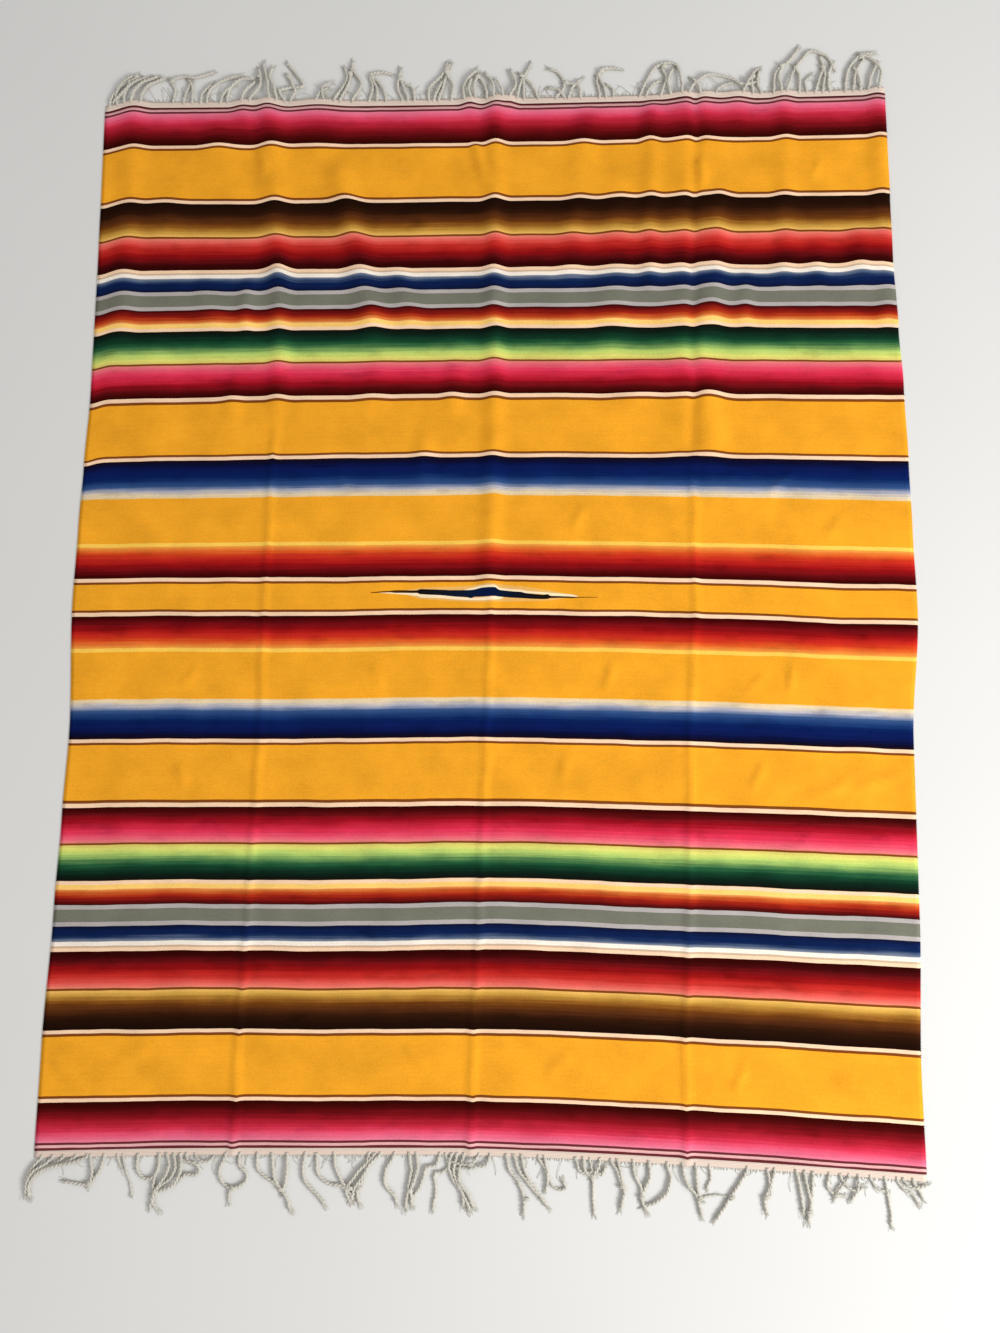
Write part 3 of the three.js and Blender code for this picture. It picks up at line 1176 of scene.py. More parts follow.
def finish_piece(piece: bpy.types.Object, material: bpy.types.Material) -> bpy.types.Object:
    """Dresses a piece, hangs it on the root body and logs it.

    Args:
        piece: The new object, in place.
        material: What it is made of.

    Returns:
        The same object.
    """
    piece.data.materials.clear()
    piece.data.materials.append(material)
    for polygon in piece.data.polygons:
        polygon.use_smooth = True
    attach(piece, ROOT_BODY)
    LOG.info("%s: %d faces", piece.name, len(piece.data.polygons))
    return piece


def new_object(name: str, mesh: bpy.types.ID) -> bpy.types.Object:
    """Puts a mesh or a curve into the scene under a name."""
    piece = bpy.data.objects.new(name, mesh)
    bpy.context.scene.collection.objects.link(piece)
    return piece


@dataclass(frozen=True)
class ClothShell:
    """A thin shell over a patch of the cloth."""

    name: str
    v_low: float
    v_high: float
    columns: int
    rows: int
    thickness: float

    def build(self) -> bpy.types.Object:
        """Makes the shell from a grid that is laid out as the cloth lies.

        Returns:
            The piece, with its cloth map in metres and a live Solidify.
        """
        sheet = bmesh.new()
        bmesh.ops.create_grid(sheet, x_segments=self.columns, y_segments=self.rows, size=1.0)
        sheet.verts.ensure_lookup_table()
        flat = np.array([vert.co[:2] for vert in sheet.verts])
        u = flat[:, 0] * LAY.half_width
        v = self.v_low + (flat[:, 1] + 1) / 2 * (self.v_high - self.v_low)
        cloth_map = sheet.loops.layers.uv.new(CLOTH_MAP)
        for vert, u_here, v_here in zip(sheet.verts, u, v):
            for loop in vert.link_loops:
                loop[cloth_map].uv = (u_here * MM, v_here * MM)
        for vert, place in zip(sheet.verts, LAY.place(u, v, self.thickness)):
            vert.co = place
        mesh = bpy.data.meshes.new(self.name)
        sheet.to_mesh(mesh)
        sheet.free()
        piece = new_object(self.name, mesh)
        wall = piece.modifiers.new("wall", "SOLIDIFY")
        wall.thickness = self.thickness * MM
        wall.offset = -1.0
        return piece


@dataclass(frozen=True)
class SelvageLoops:
    """The small loops in which the weft turns back at each side of the cloth."""

    pitch: float = 3.6
    reach: float = 2.2
    half_thickness: float = 1.25
    half_length_share: float = 0.62
    inset: float = 0.4

    def build(self, side: int) -> bpy.types.Object:
        """Makes the loops of one side as one joined mesh.

        Args:
            side: -1 for the left selvage, 1 for the right one.

        Returns:
            The piece, with the cloth map of the rows that its loops belong to.
        """
        name = f"selvage_{'left' if side < 0 else 'right'}"
        loops = bmesh.new()
        cloth_map = loops.loops.layers.uv.new(CLOTH_MAP)
        count = int(LAY.striped_length / self.pitch)
        v = (np.arange(count) + 0.5) * LAY.striped_length / count - LAY.half_stripes
        u = np.full(count, side * (LAY.half_width - self.inset))
        for place, v_here in zip(LAY.place(u, v, LAY.thickness / 2), v):
            made = bmesh.ops.create_icosphere(loops, subdivisions=1, radius=1.0)["verts"]
            size = Vector((self.reach, self.pitch * self.half_length_share, self.half_thickness)) * MM
            bmesh.ops.scale(loops, vec=size, verts=made)
            bmesh.ops.translate(loops, vec=Vector(place), verts=made)
            for vert in made:
                for loop in vert.link_loops:
                    loop[cloth_map].uv = (u[0] * MM, v_here * MM)
        mesh = bpy.data.meshes.new(name)
        loops.to_mesh(mesh)
        loops.free()
        return new_object(name, mesh)


@dataclass(frozen=True)
class Cord:
    """One cord of the fringe, in millimetres.

    Its route is a few places across the cloth and outwards from the last row. A plump of 1 is a
    full cord. One that is over its neighbours arches by that much.
    """

    route: tuple[Place, ...]
    plump: float = 1.0
    over: float = 0.0


NEAR_CORDS = (
    Cord(((-748, 0), (-757, 10), (-768, 24), (-773, 42))),
    Cord(((-728, 0), (-740, 10), (-758, 20), (-768, 36), (-772, 58)), over=2),
    Cord(((-708, 0), (-722, 10), (-744, 16), (-760, 28), (-768, 50))),
    Cord(((-688, 0), (-705, 8), (-730, 14), (-752, 24), (-764, 42), (-764, 62)), over=3),
    Cord(((-668, 0), (-690, 7), (-716, 11), (-744, 20), (-762, 36)), over=4),
    Cord(((-637, 0), (-640, 16), (-648, 30), (-660, 44), (-674, 45), (-701, 40))),
    Cord(((-662, 0), (-658, 18), (-657, 32), (-662, 46)), over=1),
    Cord(((-614, 0), (-608, 14)), 0.8),
    Cord(((-604, 0), (-598, 24), (-590, 44), (-586, 64)), 0.6),
    Cord(((-577, 0), (-579, 20), (-572, 33), (-560, 38), (-548, 34), (-541, 18), (-541, 0))),
    Cord(((-541, 0), (-540, 14), (-545, 30), (-548, 48), (-547, 62))),
    Cord(((-527, 0), (-522, 16), (-526, 32), (-538, 46), (-546, 60), (-549, 74), (-541, 88)), over=2),
    Cord(((-515, 0), (-512, 20), (-520, 38), (-536, 50), (-545, 66), (-553, 84)), over=1),
    Cord(((-504, 0), (-501, 18), (-506, 36), (-516, 50), (-532, 56), (-546, 61)), over=3),
    Cord(((-494, 0), (-490, 9), (-474, 14), (-467, 24), (-476, 32), (-492, 31), (-502, 38)), over=2),
    Cord(((-478, 0), (-470, 8), (-456, 10), (-446, 2)), 0.8, 2),
    Cord(((-424, 0), (-432, 18), (-434, 34), (-424, 50), (-409, 54), (-394, 48), (-386, 38), (-391, 26),
          (-401, 16), (-400, 0))),
    Cord(((-411, 52), (-416, 62), (-417, 76)), 0.8),
    Cord(((-370, 0), (-368, 24), (-352, 38), (-330, 52), (-318, 70), (-311, 90))),
    Cord(((-344, 0), (-341, 24), (-337, 40), (-329, 56)), over=1),
    Cord(((-318, 0), (-317, 26), (-321, 46), (-325, 60)), over=2),
    Cord(((-288, 0), (-290, 28), (-284, 46), (-268, 62), (-253, 80))),
    Cord(((-267, 0), (-266, 24), (-256, 40), (-242, 48), (-226, 50), (-213, 58), (-204, 70))),
    Cord(((-237, 0), (-232, 22), (-222, 42), (-212, 56)), over=1),
    Cord(((-158, 0), (-174, 14), (-186, 32), (-198, 50), (-206, 72)), over=2),
    Cord(((-178, 0), (-182, 18), (-186, 40), (-196, 56), (-191, 78))),
    Cord(((-168, 0), (-180, 12), (-194, 26), (-208, 44), (-214, 58), (-209, 74)), over=1),
    Cord(((-135, 0), (-147, 22), (-150, 42), (-144, 56), (-132, 66), (-128, 78))),
    Cord(((-108, 0), (-104, 24), (-107, 44), (-110, 62), (-113, 86))),
    Cord(((-96, 0), (-93, 22), (-99, 44), (-104, 60), (-101, 82)), over=2),
    Cord(((-57, 0), (-62, 16), (-78, 20), (-83, 38), (-92, 56), (-100, 70)), 0.9, 1),
    Cord(((-46, 0), (-42, 18), (-52, 28), (-63, 30), (-62, 60), (-66, 88)), 0.8),
    Cord(((-36, 0), (-40, 16), (-34, 36), (-22, 54), (-10, 72), (-4, 88))),
    Cord(((-14, 0), (-22, 24), (-20, 44), (-6, 64), (3, 84)), over=2),
    Cord(((-27, 0), (-31, 22), (-26, 42), (-16, 60), (-14, 80)), over=1),
    Cord(((30, 0), (22, 14), (-4, 18), (-28, 21)), 0.9, 3),
    Cord(((10, 0), (-2, 10), (-20, 13), (-36, 9)), 0.9, 4),
    Cord(((57, 0), (63, 22), (78, 40), (88, 64), (89, 90))),
    Cord(((71, 0), (82, 24), (98, 44), (110, 60)), over=1),
    Cord(((84, 0), (93, 28), (108, 52), (127, 78))),
    Cord(((112, 0), (124, 16), (131, 36), (145, 50), (158, 47), (154, 38)), 0.9),
    Cord(((122, 0), (129, 24), (125, 52)), 0.9, 2),
    Cord(((176, 0), (182, 16), (194, 22), (206, 17), (220, 22), (227, 9))),
    Cord(((188, 0), (191, 14), (201, 25)), over=2),
    Cord(((200, 0), (203, 18), (205, 50), (206, 86)), 0.8),
    Cord(((216, 0), (211, 14), (203, 27)), over=2),
    Cord(((236, 0), (246, 18), (254, 38))),
    Cord(((247, 0), (253, 24), (257, 50), (251, 76)), over=1),
    Cord(((273, 0), (274, 18), (284, 38), (288, 62), (294, 76))),
    Cord(((300, 0), (300, 24), (291, 40), (286, 54)), over=1),
    Cord(((330, 0), (336, 24), (326, 48), (306, 64), (291, 70)), over=1),
    Cord(((356, 0), (362, 28), (380, 50), (386, 78))),
    Cord(((377, 0), (380, 30), (385, 50)), over=1),
    Cord(((400, 0), (402, 20), (395, 34)), 0.7),
    Cord(((463, 0), (448, 26), (432, 50), (411, 84))),
    Cord(((384, 52), (408, 45), (438, 48)), 0.5),
    Cord(((497, 0), (500, 26), (492, 44), (493, 66))),
    Cord(((509, 0), (505, 16), (500, 32)), over=1),
    Cord(((545, 0), (552, 28), (556, 62))),
    Cord(((558, 0), (562, 20), (568, 44), (566, 62)), over=1),
    Cord(((572, 0), (570, 32), (563, 76))),
    Cord(((600, 0), (596, 18), (606, 30), (618, 32)), 0.9),
    Cord(((618, 0), (628, 14), (640, 22), (652, 18)), 0.9, 1),
    Cord(((648, 0), (646, 20), (636, 36)), 0.9, 2),
    Cord(((632, 0), (616, 20), (608, 36)), 0.8, 2),
    Cord(((668, 0), (676, 14), (690, 20)), 0.8),
    Cord(((690, 0), (694, 20), (699, 48), (700, 74)), 0.8),
    Cord(((712, 0), (722, 14), (736, 22), (744, 34)), 0.9),
    Cord(((722, 0), (734, 10), (746, 9), (758, 5)), over=1),
    Cord(((738, 0), (747, 14), (753, 26))),
)

NEAR_KNOTS = (
    (-660, 44), (-546, 60), (-410, 54), (-328, 56), (-208, 54), (-192, 54), (-106, 58), (-22, 50),
    (92, 68), (204, 26), (254, 40), (287, 56), (384, 52), (437, 48), (494, 44), (566, 62), (610, 33),
)

FAR_CORDS = (
    Cord(((-752, 0), (-746, 18), (-726, 34), (-696, 48))),
    Cord(((-738, 0), (-740, 20), (-728, 38), (-704, 54)), over=2),
    Cord(((-724, 0), (-722, 18), (-706, 36), (-680, 50)), over=1),
    Cord(((-708, 0), (-700, 20), (-684, 38), (-660, 52)), over=2),
    Cord(((-690, 0), (-684, 22), (-668, 38), (-646, 48))),
    Cord(((-746, 4), (-728, 14), (-712, 30), (-716, 44)), over=4),
    Cord(((-626, 0), (-620, 24), (-630, 44), (-606, 52), (-582, 50), (-548, 60)), 0.9),
    Cord(((-604, 0), (-598, 22), (-590, 38))),
    Cord(((-587, 0), (-586, 24), (-596, 44)), over=1),
    Cord(((-570, 0), (-566, 18), (-552, 34))),
    Cord(((-557, 0), (-552, 24), (-524, 44), (-494, 50))),
    Cord(((-530, 0), (-522, 18), (-506, 30)), over=1),
    Cord(((-517, 0), (-512, 26), (-490, 42), (-468, 45))),
    Cord(((-488, 0), (-476, 22), (-462, 36))),
    Cord(((-472, 0), (-453, 24), (-451, 48), (-456, 64)), over=1),
    Cord(((-432, 0), (-437, 34), (-447, 76))),
    Cord(((-418, 0), (-424, 26), (-434, 46), (-429, 66)), over=1),
    Cord(((-402, 0), (-413, 18), (-392, 26), (-366, 27), (-374, 46), (-400, 76))),
    Cord(((-390, 0), (-381, 16), (-388, 34), (-397, 50)), over=2),
    Cord(((-340, 0), (-330, 14), (-318, 21)), 0.8),
    Cord(((-324, 0), (-327, 22), (-312, 35)), 0.8, 1),
    Cord(((-304, 0), (-290, 22), (-280, 44), (-284, 64))),
    Cord(((-291, 0), (-275, 38), (-270, 76)), over=1),
    Cord(((-268, 0), (-251, 30), (-269, 62)), over=2),
    Cord(((-235, 0), (-228, 26), (-234, 50), (-214, 56), (-196, 54))),
    Cord(((-220, 0), (-220, 22), (-229, 42)), over=1),
    Cord(((-202, 0), (-210, 26), (-227, 46)), over=2),
    Cord(((-170, 0), (-179, 28), (-174, 60))),
    Cord(((-158, 0), (-166, 20), (-174, 42)), over=1),
    Cord(((-146, 0), (-150, 22), (-168, 33)), over=2),
    Cord(((-118, 0), (-116, 24), (-96, 44), (-78, 70))),
    Cord(((-108, 0), (-100, 18), (-92, 36)), over=1),
    Cord(((-98, 0), (-88, 32), (-80, 60))),
    Cord(((-74, 0), (-70, 28), (-84, 52), (-82, 72)), over=2),
    Cord(((-49, 0), (-48, 26), (-25, 56))),
    Cord(((-36, 0), (-40, 16), (-34, 34)), over=1),
    Cord(((-26, 0), (-28, 24), (-22, 46))),
    Cord(((-4, 0), (-8, 24), (-20, 42)), over=1),
    Cord(((10, 0), (6, 26), (-6, 46))),
    Cord(((28, 0), (22, 18), (14, 32)), 0.8),
    Cord(((42, 0), (52, 24), (42, 50))),
    Cord(((56, 0), (60, 20), (66, 42)), over=1),
    Cord(((68, 0), (68, 34), (80, 68))),
    Cord(((96, 0), (82, 26), (62, 46)), over=2),
    Cord(((132, 0), (146, 22), (138, 46), (120, 58))),
    Cord(((148, 0), (134, 14), (119, 18)), 0.9, 2),
    Cord(((156, 0), (163, 18), (178, 34)), over=1),
    Cord(((180, 0), (174, 20), (150, 28)), over=3),
    Cord(((216, 0), (210, 30), (221, 54), (252, 55))),
    Cord(((228, 0), (222, 20), (213, 38)), over=1),
    Cord(((242, 0), (240, 14), (230, 22)), 0.8, 1),
    Cord(((294, 0), (304, 26), (318, 50), (336, 62), (361, 60), (372, 32), (374, 0))),
    Cord(((306, 0), (318, 20), (333, 27)), 0.9, 1),
    Cord(((334, 0), (344, 30), (336, 52))),
    Cord(((352, 0), (347, 26), (356, 48)), over=1),
    Cord(((388, 0), (402, 22), (430, 34), (462, 28), (490, 12), (516, 20))),
    Cord(((410, 0), (404, 14), (395, 25)), over=2),
    Cord(((440, 0), (452, 12), (470, 16)), 0.8),
    Cord(((492, 0), (500, 18), (508, 32)), over=2),
    Cord(((510, 0), (509, 32), (520, 46))),
    Cord(((526, 0), (519, 20), (523, 42)), over=1),
    Cord(((550, 0), (554, 36), (580, 60), (597, 84))),
    Cord(((564, 0), (560, 26), (568, 50)), over=1),
    Cord(((576, 0), (584, 30), (604, 64), (624, 80), (652, 68), (664, 44))),
    Cord(((598, 0), (598, 30), (590, 48)), over=1),
    Cord(((614, 0), (610, 18), (620, 30)), 0.8),
    Cord(((630, 0), (636, 22), (646, 44)), over=1),
    Cord(((644, 0), (648, 36), (640, 66))),
    Cord(((656, 0), (654, 28), (663, 52)), over=1),
    Cord(((686, 0), (690, 36), (712, 66), (740, 72))),
    Cord(((702, 0), (706, 32), (722, 60)), over=1),
    Cord(((716, 0), (712, 22), (703, 44)), over=2),
    Cord(((730, 0), (736, 26), (746, 46))),
    Cord(((749, 0), (753, 36), (732, 62), (716, 70)), over=1),
)

FAR_KNOTS = (
    (-700, 50), (-628, 42), (-454, 48), (-396, 50), (-274, 54), (-230, 46), (-174, 42), (-84, 56),
    (-22, 42), (64, 44), (150, 28), (218, 50), (340, 56), (510, 32), (566, 50), (644, 46), (718, 64),
)


def smooth_route(route: tuple[Place, ...], step: float) -> list[Place]:
    """Runs a smooth curve through the places of a route.

    Args:
        route: The places, in order.
        step: The distance between the curve's own points.

    Returns:
        The points of the curve.
    """
    points = [Vector(place) for place in route]
    points = [points[0] * 2 - points[1], *points, points[-1] * 2 - points[-2]]
    curve = []
    for before, start, end, after in zip(points, points[1:], points[2:], points[3:]):
        count = max(2, round((end - start).length / step))
        for index in range(count):
            t = index / count
            pull = (end - before) * t + (before * 2 - start * 5 + end * 4 - after) * t ** 2
            pull += (start * 3 - before - end * 3 + after) * t ** 3
            curve.append(tuple(start + pull / 2))
    curve.append(tuple(points[-2]))
    return curve


@dataclass
class Fringe:
    """The fringe of one end: soft two-ply cotton cords, knotted here and there and frayed."""

    end: End
    cords: tuple[Cord, ...]
    knots: tuple[Place, ...]
    wisps: int
    seed: int
    ply_radius: float = 1.95
    ply_range: Range = (0.88, 1.08)
    ply_offset: float = 1.4
    twist_pitch: float = 15.0
    step: float = 3.0
    wander: float = 0.8
    wander_kept: float = 0.7
    tuck: float = 4.0
    root_height: float = 1.0
    rise: float = 12.0
    knot_turns: float = 1.7
    knot_steps: int = 10
    knot_reach: float = 4.4
    knot_flatness: float = 0.62
    knot_length: float = 2.6
    knot_lean: float = 0.5
    stub_spacing: float = 4.4
    stub_scatter: float = 1.5
    stub_lean: float = 2.5
    stub_length: float = 7.0
    stub_range: Range = (0.3, 1.0)
    stub_radius: float = 0.7
    wisp_length: float = 30.0
    wisp_range: Range = (0.4, 1.3)
    wisp_radius: float = 0.42
    wisp_points: int = 10
    wisp_height: float = 1.5
    wisp_wave: float = 0.35
    wisp_turn: float = 0.7
    wisp_bend: float = 0.16
    wisp_shake: float = 0.25
    fray_strands: int = 9
    fray_radius: float = 0.45
    fray_length: float = 15.0
    fray_range: Range = (0.4, 1.0)
    fray_spread: float = 6.0
    fray_curl: float = 3.0
    fray_points: int = 6
    fibre_spacing: float = 5.0
    fibre_length: float = 5.0
    fibre_range: Range = (0.5, 1.2)
    fibre_radius: float = 0.2
    fibre_depth: float = 0.8
    fibre_droop: float = 1.2

    def __post_init__(self) -> None:
        """Seeds the chances and makes the curves that gather the strands and the fine fibres."""
        self.chance = random.Random(self.seed)
        self.strands = self.new_bundle("strands", 1)
        self.fibres = self.new_bundle("fibres", 0)

    def new_bundle(self, name: str, roundness: int) -> bpy.types.Curve:
        """Makes an empty curve whose splines get a round section."""
        bundle = bpy.data.curves.new(f"fringe_{self.end.side}_{name}", "CURVE")
        bundle.dimensions = "3D"
        bundle.bevel_depth = MM
        bundle.bevel_resolution = roundness
        bundle.use_fill_caps = True
        return bundle

    def spot(self, across: float, reach: float, lift: float) -> Vector:
        """A point of the fringe: across, outwards from the last row, and over the surface."""
        v = self.end.value * (LAY.half_woven + reach)
        return Vector(LAY.place(across, v, lift))

    def add_strand(self, bundle: bpy.types.Curve, points: list[Vector], radii: list[float]) -> None:
        """Adds one strand through its points, with a radius in millimetres at each.

        No part of it goes under the surface that the cloth lies on.
        """
        spline = bundle.splines.new("POLY")
        spline.points.add(len(points) - 1)
        for point, place, radius in zip(spline.points, points, radii):
            point.co = (place.x, place.y, max(place.z, radius * MM), 1.0)
            point.radius = radius

    def middle_line(self, cord: Cord) -> list[Vector]:
        """The line in the middle of a cord, from inside the last row to its tip.

        Args:
            cord: The cord. One whose route starts or ends at the last row is tucked into it.

        Returns:
            Points a step apart, in metres.
        """
        rooted = cord.route[0][1] == 0
        start = (cord.route[0][0], -self.tuck)
        route = (start, *cord.route) if rooted else cord.route
        if cord.route[-1][1] == 0:
            route = (*route, (cord.route[-1][0], -self.tuck))
        resting = (self.ply_radius + self.ply_offset) * cord.plump
        curve = smooth_route(route, self.step)
        line = []
        drift = 0.0
        for index, (across, reach) in enumerate(curve):
            share = index / (len(curve) - 1)
            drift = self.wander_kept * drift + self.chance.uniform(-1, 1) * self.wander
            risen = min(1.0, max(0.0, (reach + self.tuck) / self.rise))
            arch = cord.over * math.sin(math.pi * share)
            height = self.root_height + (resting - self.root_height + arch) * risen
            line.append(self.spot(across + drift, reach, height))
        return line

    def add_cord(self, cord: Cord) -> None:
        """Twists two plies round the cord's line, and lets it bristle and fray.

        Args:
            cord: The cord.
        """
        line = self.middle_line(cord)
        phase = self.chance.uniform(0, 2 * math.pi)
        travelled = 0.0
        plies: list[list[Vector]] = [[], []]
        radii = []
        for index, place in enumerate(line):
            ahead = line[min(index + 1, len(line) - 1)] - line[max(index - 1, 0)]
            if index:
                travelled += (place - line[index - 1]).length
            forward = ahead.normalized()
            aside = forward.cross(Vector((0, 0, 1))).normalized()
            upward = aside.cross(forward)
            turn = phase + 2 * math.pi * travelled / (self.twist_pitch * MM)
            for ply, half_turn in zip(plies, (0.0, math.pi)):
                offset = aside * math.cos(turn + half_turn) + upward * math.sin(turn + half_turn)
                ply.append(place + offset * self.ply_offset * cord.plump * MM)
            radii.append(self.ply_radius * cord.plump * self.chance.uniform(*self.ply_range))
            if self.chance.random() < self.step / self.fibre_spacing:
                self.add_fibre(place, forward, aside, cord.plump)
        for ply in plies:
            self.add_strand(self.strands, ply, radii)
        if cord.route[-1][1] != 0:
            self.add_fray(line[-1], line[-1] - line[-3], cord.plump)

    def add_fibre(self, place: Vector, forward: Vector, aside: Vector, plump: float) -> None:
        """Lets one fine fibre stand off the side of a cord.

        Args:
            place: A place on the cord's middle line.
            forward: The way in which the cord runs there.
            aside: The level direction across it.
            plump: How plump the cord is.
        """
        side = aside * self.chance.choice((-1, 1))
        length = self.fibre_length * self.chance.uniform(*self.fibre_range)
        surface = place + side * (self.ply_radius + self.ply_offset) * self.fibre_depth * plump * MM
        bend = surface + (side * 0.5 + forward * 0.5) * length * MM
        tip = bend + (side * self.chance.uniform(0.0, 0.6) + forward * 0.5) * length * MM
        tip.z -= self.fibre_droop * MM
        radii = [self.fibre_radius, self.fibre_radius, self.fibre_radius / 2]
        self.add_strand(self.fibres, [surface, bend, tip], radii)

    def add_fray(self, tip: Vector, forward: Vector, plump: float) -> None:
        """Lets a cord end in a loose tuft.

        Args:
            tip: The end of the cord's middle line.
            forward: The way in which the cord runs there.
            plump: How plump the cord is.
        """
        forward = Vector((forward.x, forward.y, 0)).normalized()
        aside = Vector((-forward.y, forward.x, 0))
        for _ in range(self.fray_strands):
            start = tip + aside * self.chance.uniform(-1, 1) * self.ply_radius * plump * MM
            spread = self.chance.uniform(-1, 1) * self.fray_spread
            length = self.fray_length * self.chance.uniform(*self.fray_range) * plump
            curl = self.chance.uniform(-self.fray_curl, self.fray_curl)
            points = []
            radii = []
            for index in range(self.fray_points):
                t = index / (self.fray_points - 1)
                out = forward * length * t + aside * (spread * t ** 1.4 + curl * math.sin(3 * t))
                place = start + out * MM
                place.z = tip.z * (1 - t) + self.fray_radius * 1.2 * MM * t
                points.append(place)
                radii.append(self.fray_radius * (1 - 0.5 * t))
            self.add_strand(self.fibres, points, radii)

    def add_knot(self, across: float, reach: float) -> None:
        """Wraps a short coil round the cords that meet at a knot.

        Args:
            across: The knot's place across the cloth.
            reach: How far it is from the last row.
        """
        centre = self.spot(across, reach, self.ply_radius + self.ply_offset)
        lean = self.chance.uniform(-self.knot_lean, self.knot_lean)
        forward = Vector((lean, self.end.value, 0)).normalized()
        aside = forward.cross(Vector((0, 0, 1)))
        count = round(self.knot_steps * self.knot_turns)
        points = []
        for index in range(count + 1):
            share = index / count
            angle = 2 * math.pi * self.knot_turns * share
            ring = aside * math.cos(angle) + Vector((0, 0, self.knot_flatness)) * math.sin(angle)
            slide = forward * (share - 0.5) * self.ply_radius * self.knot_length
            points.append(centre + (ring * self.knot_reach + slide) * MM)
        self.add_strand(self.strands, points, [self.ply_radius] * len(points))

    def add_stubs(self) -> None:
        """Lets short cut warp ends stand out between the roots of the cords."""
        count = round((LAY.width - 2 * self.stub_spacing) / self.stub_spacing)
        for index in range(count):
            across = (index + 0.5) * self.stub_spacing - count * self.stub_spacing / 2
            across += self.chance.uniform(-self.stub_scatter, self.stub_scatter)
            reach = self.stub_length * self.chance.uniform(*self.stub_range)
            lean = self.chance.uniform(-self.stub_lean, self.stub_lean)
            points = [
                self.spot(across, -self.tuck / 2, self.root_height),
                self.spot(across, reach / 2, 1.2),
                self.spot(across + lean, reach, self.stub_radius),
            ]
            radii = [self.stub_radius, self.stub_radius, self.stub_radius / 2]
            self.add_strand(self.fibres, points, radii)

    def add_wisps(self) -> None:
        """Lets single loose strands curl out between the cords."""
        for _ in range(self.wisps):
            across = self.chance.uniform(-1, 1) * (LAY.half_width - self.wisp_length / 2)
            length = self.wisp_length * self.chance.uniform(*self.wisp_range)
            angle = self.chance.uniform(-self.wisp_turn, self.wisp_turn)
            bend = self.chance.uniform(-self.wisp_bend, self.wisp_bend)
            step = length / (self.wisp_points - 1)
            reach = 0.0
            points = []
            for index in range(self.wisp_points):
                arch = self.wisp_height * math.sin(self.wisp_wave * index)
                points.append(self.spot(across, reach, self.wisp_radius + arch))
                across += math.sin(angle) * step
                reach = max(reach + math.cos(angle) * step, 0.0)
                angle += bend + self.chance.uniform(-self.wisp_shake, self.wisp_shake)
            self.add_strand(self.fibres, points, [self.wisp_radius] * len(points))

    def build(self) -> bpy.types.Object:
        """Lays every cord, knot and loose end and joins them into one mesh.

        Returns:
            The fringe of this end.
        """
        for cord in self.cords:
            self.add_cord(cord)
        for across, reach in self.knots:
            self.add_knot(across, reach)
        self.add_stubs()
        self.add_wisps()
        name = f"fringe_cords_{self.end.side}"
        joined = bmesh.new()
        for bundle in (self.strands, self.fibres):
            gathered = new_object("bundle", bundle)
            bpy.context.view_layer.update()
            shaped = gathered.evaluated_get(bpy.context.evaluated_depsgraph_get())
            mesh = bpy.data.meshes.new_from_object(shaped)
            joined.from_mesh(mesh)
            bpy.data.objects.remove(gathered)
            bpy.data.curves.remove(bundle)
            bpy.data.meshes.remove(mesh)
        mesh = bpy.data.meshes.new(name)
        joined.to_mesh(mesh)
        joined.free()
        return new_object(name, mesh)


# --------------------------------------------------------------------------------------------
# The whole serape
# --------------------------------------------------------------------------------------------


@dataclass
class Serape:
    """The serape: its striped body, the cream rows at its ends and its fringes."""

    body_columns: int = 230
    body_rows: int = 196
    end_rows_columns: int = 230
    end_rows_rows: int = 4
    end_rows_thickness: float = 1.8
    far_wisps: int = 150
    far_seed: int = 8
    near_wisps: int = 60
    near_seed: int = 6

    def build_end(self, fringe: Fringe, cream: bpy.types.Material,
                  cotton: bpy.types.Material) -> list[bpy.types.Object]:
        """Builds the cream rows and the fringe of one end.

        Args:
            fringe: The fringe of that end.
            cream: What the rows are made of.
            cotton: What the fringe is made of.

        Returns:
            The two pieces.
        """
        end = fringe.end
        inner, outer = LAY.half_stripes, LAY.half_woven
        low, high = sorted((inner * end.value, outer * end.value))
        shell = ClothShell(
            name=f"cream_rows_{end.side}",
            v_low=low,
            v_high=high,
            columns=self.end_rows_columns,
            rows=self.end_rows_rows,
            thickness=self.end_rows_thickness,
        )
        rows = finish_piece(shell.build(), cream)
        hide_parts(f"end_rows_{end.side}")
        cords = fringe.build()
        finish_piece(cords, cotton)
        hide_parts(f"fringe_{end.side}")
        return [rows, cords]

    def build(self) -> None:
        weave = WeaveGroup().build()
        stripes = StripedWeave().build(weave)
        cream = CreamWeave().build(weave)
        cotton = CottonCord().build()
        shell = ClothShell(
            name="striped_body",
            v_low=-LAY.half_stripes,
            v_high=LAY.half_stripes,
            columns=self.body_columns,
            rows=self.body_rows,
            thickness=LAY.thickness,
        )
        body = finish_piece(shell.build(), stripes)
        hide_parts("body")
        going_with = []
        for side in (-1, 1):
            loops = SelvageLoops().build(side)
            going_with.append(finish_piece(loops, stripes))
        far = Fringe(End.FAR, FAR_CORDS, FAR_KNOTS, self.far_wisps, self.far_seed)
        near = Fringe(End.NEAR, NEAR_CORDS, NEAR_KNOTS, self.near_wisps, self.near_seed)
        for fringe in (far, near):
            going_with += self.build_end(fringe, cream, cotton)


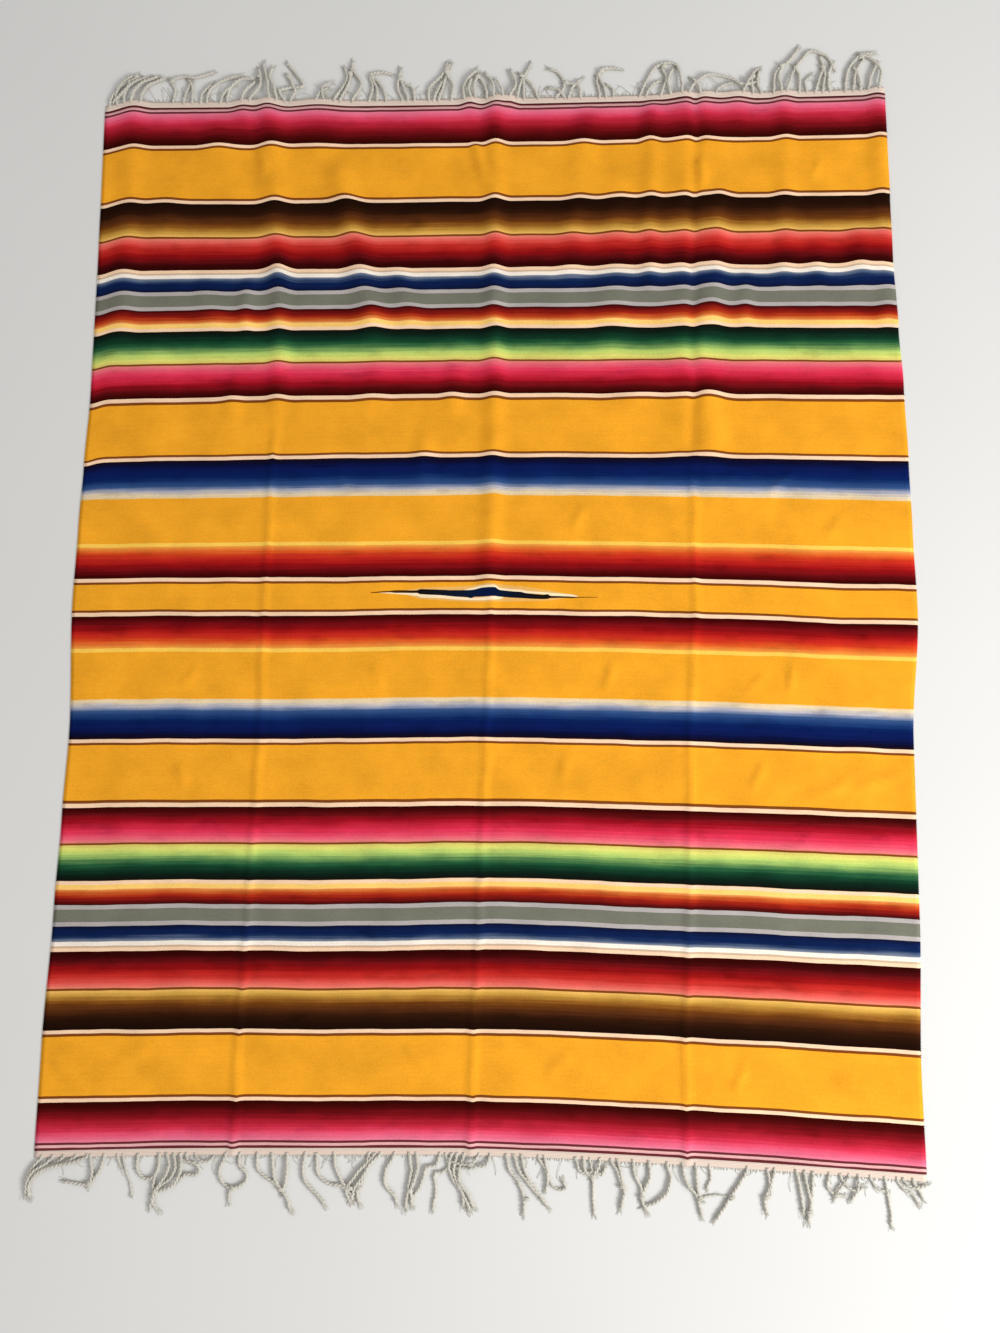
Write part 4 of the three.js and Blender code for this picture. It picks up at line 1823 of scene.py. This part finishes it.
@dataclass(frozen=True)
class Stage:
    """The floor, the light and the camera."""

    floor_size: float = 14.0
    camera_place: tuple[float, float, float] = (0.105, -0.3154, 1.801)
    camera_turn: tuple[float, float, float] = (6.232, 2.329, 0.595)
    camera_lens: float = 36.0
    camera_sensor: float = 36.0
    world_light: float = 0.62
    world_shade: Shade = (250, 250, 252)
    key_place: tuple[float, float, float] = (3.4, -1.8, 2.4)
    key_power: float = 188.0
    key_size: float = 1.6

    def build_floor(self) -> None:
        """Makes the pale floor under the cloth."""
        sheet = bmesh.new()
        bmesh.ops.create_grid(sheet, x_segments=1, y_segments=1, size=self.floor_size / 2)
        mesh = bpy.data.meshes.new("floor")
        sheet.to_mesh(mesh)
        sheet.free()
        floor = new_object("floor", mesh)
        mesh.materials.append(FloorPaint().build())

    def build_light(self) -> None:
        """Hangs the square soft light, which faces the middle of the cloth."""
        lamp = bpy.data.lights.new("window light", "AREA")
        lamp.energy = self.key_power
        lamp.size = self.key_size
        holder = bpy.data.objects.new("window light", lamp)
        holder.location = self.key_place
        holder.rotation_euler = (-Vector(self.key_place)).to_track_quat("-Z", "Y").to_euler()
        bpy.context.scene.collection.objects.link(holder)

    def build_camera(self) -> None:
        """Sets the camera over the cloth."""
        data = bpy.data.cameras.new("camera")
        data.lens = self.camera_lens
        data.sensor_width = self.camera_sensor
        data.sensor_fit = "HORIZONTAL"
        camera = bpy.data.objects.new("camera", data)
        camera.location = self.camera_place
        camera.rotation_euler = [math.radians(angle) for angle in self.camera_turn]
        bpy.context.scene.collection.objects.link(camera)
        bpy.context.scene.camera = camera

    def build(self) -> None:
        """Sets up the floor, the light, the sky and the camera."""
        self.build_floor()
        self.build_light()
        world = bpy.data.worlds.new("room")
        world.use_nodes = True
        sky = world.node_tree.nodes["Background"]
        sky.inputs["Color"].default_value = linear(self.world_shade)
        sky.inputs["Strength"].default_value = self.world_light
        bpy.context.scene.world = world
        bpy.context.scene.view_settings.view_transform = "Standard"
        self.build_camera()


def main() -> None:
    """Builds the serape and its stage."""
    logging.basicConfig(level=logging.INFO, format="%(name)s %(message)s")
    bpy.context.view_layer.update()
    Serape().build()
    Stage().build()


if __name__ == "__main__":
    main()
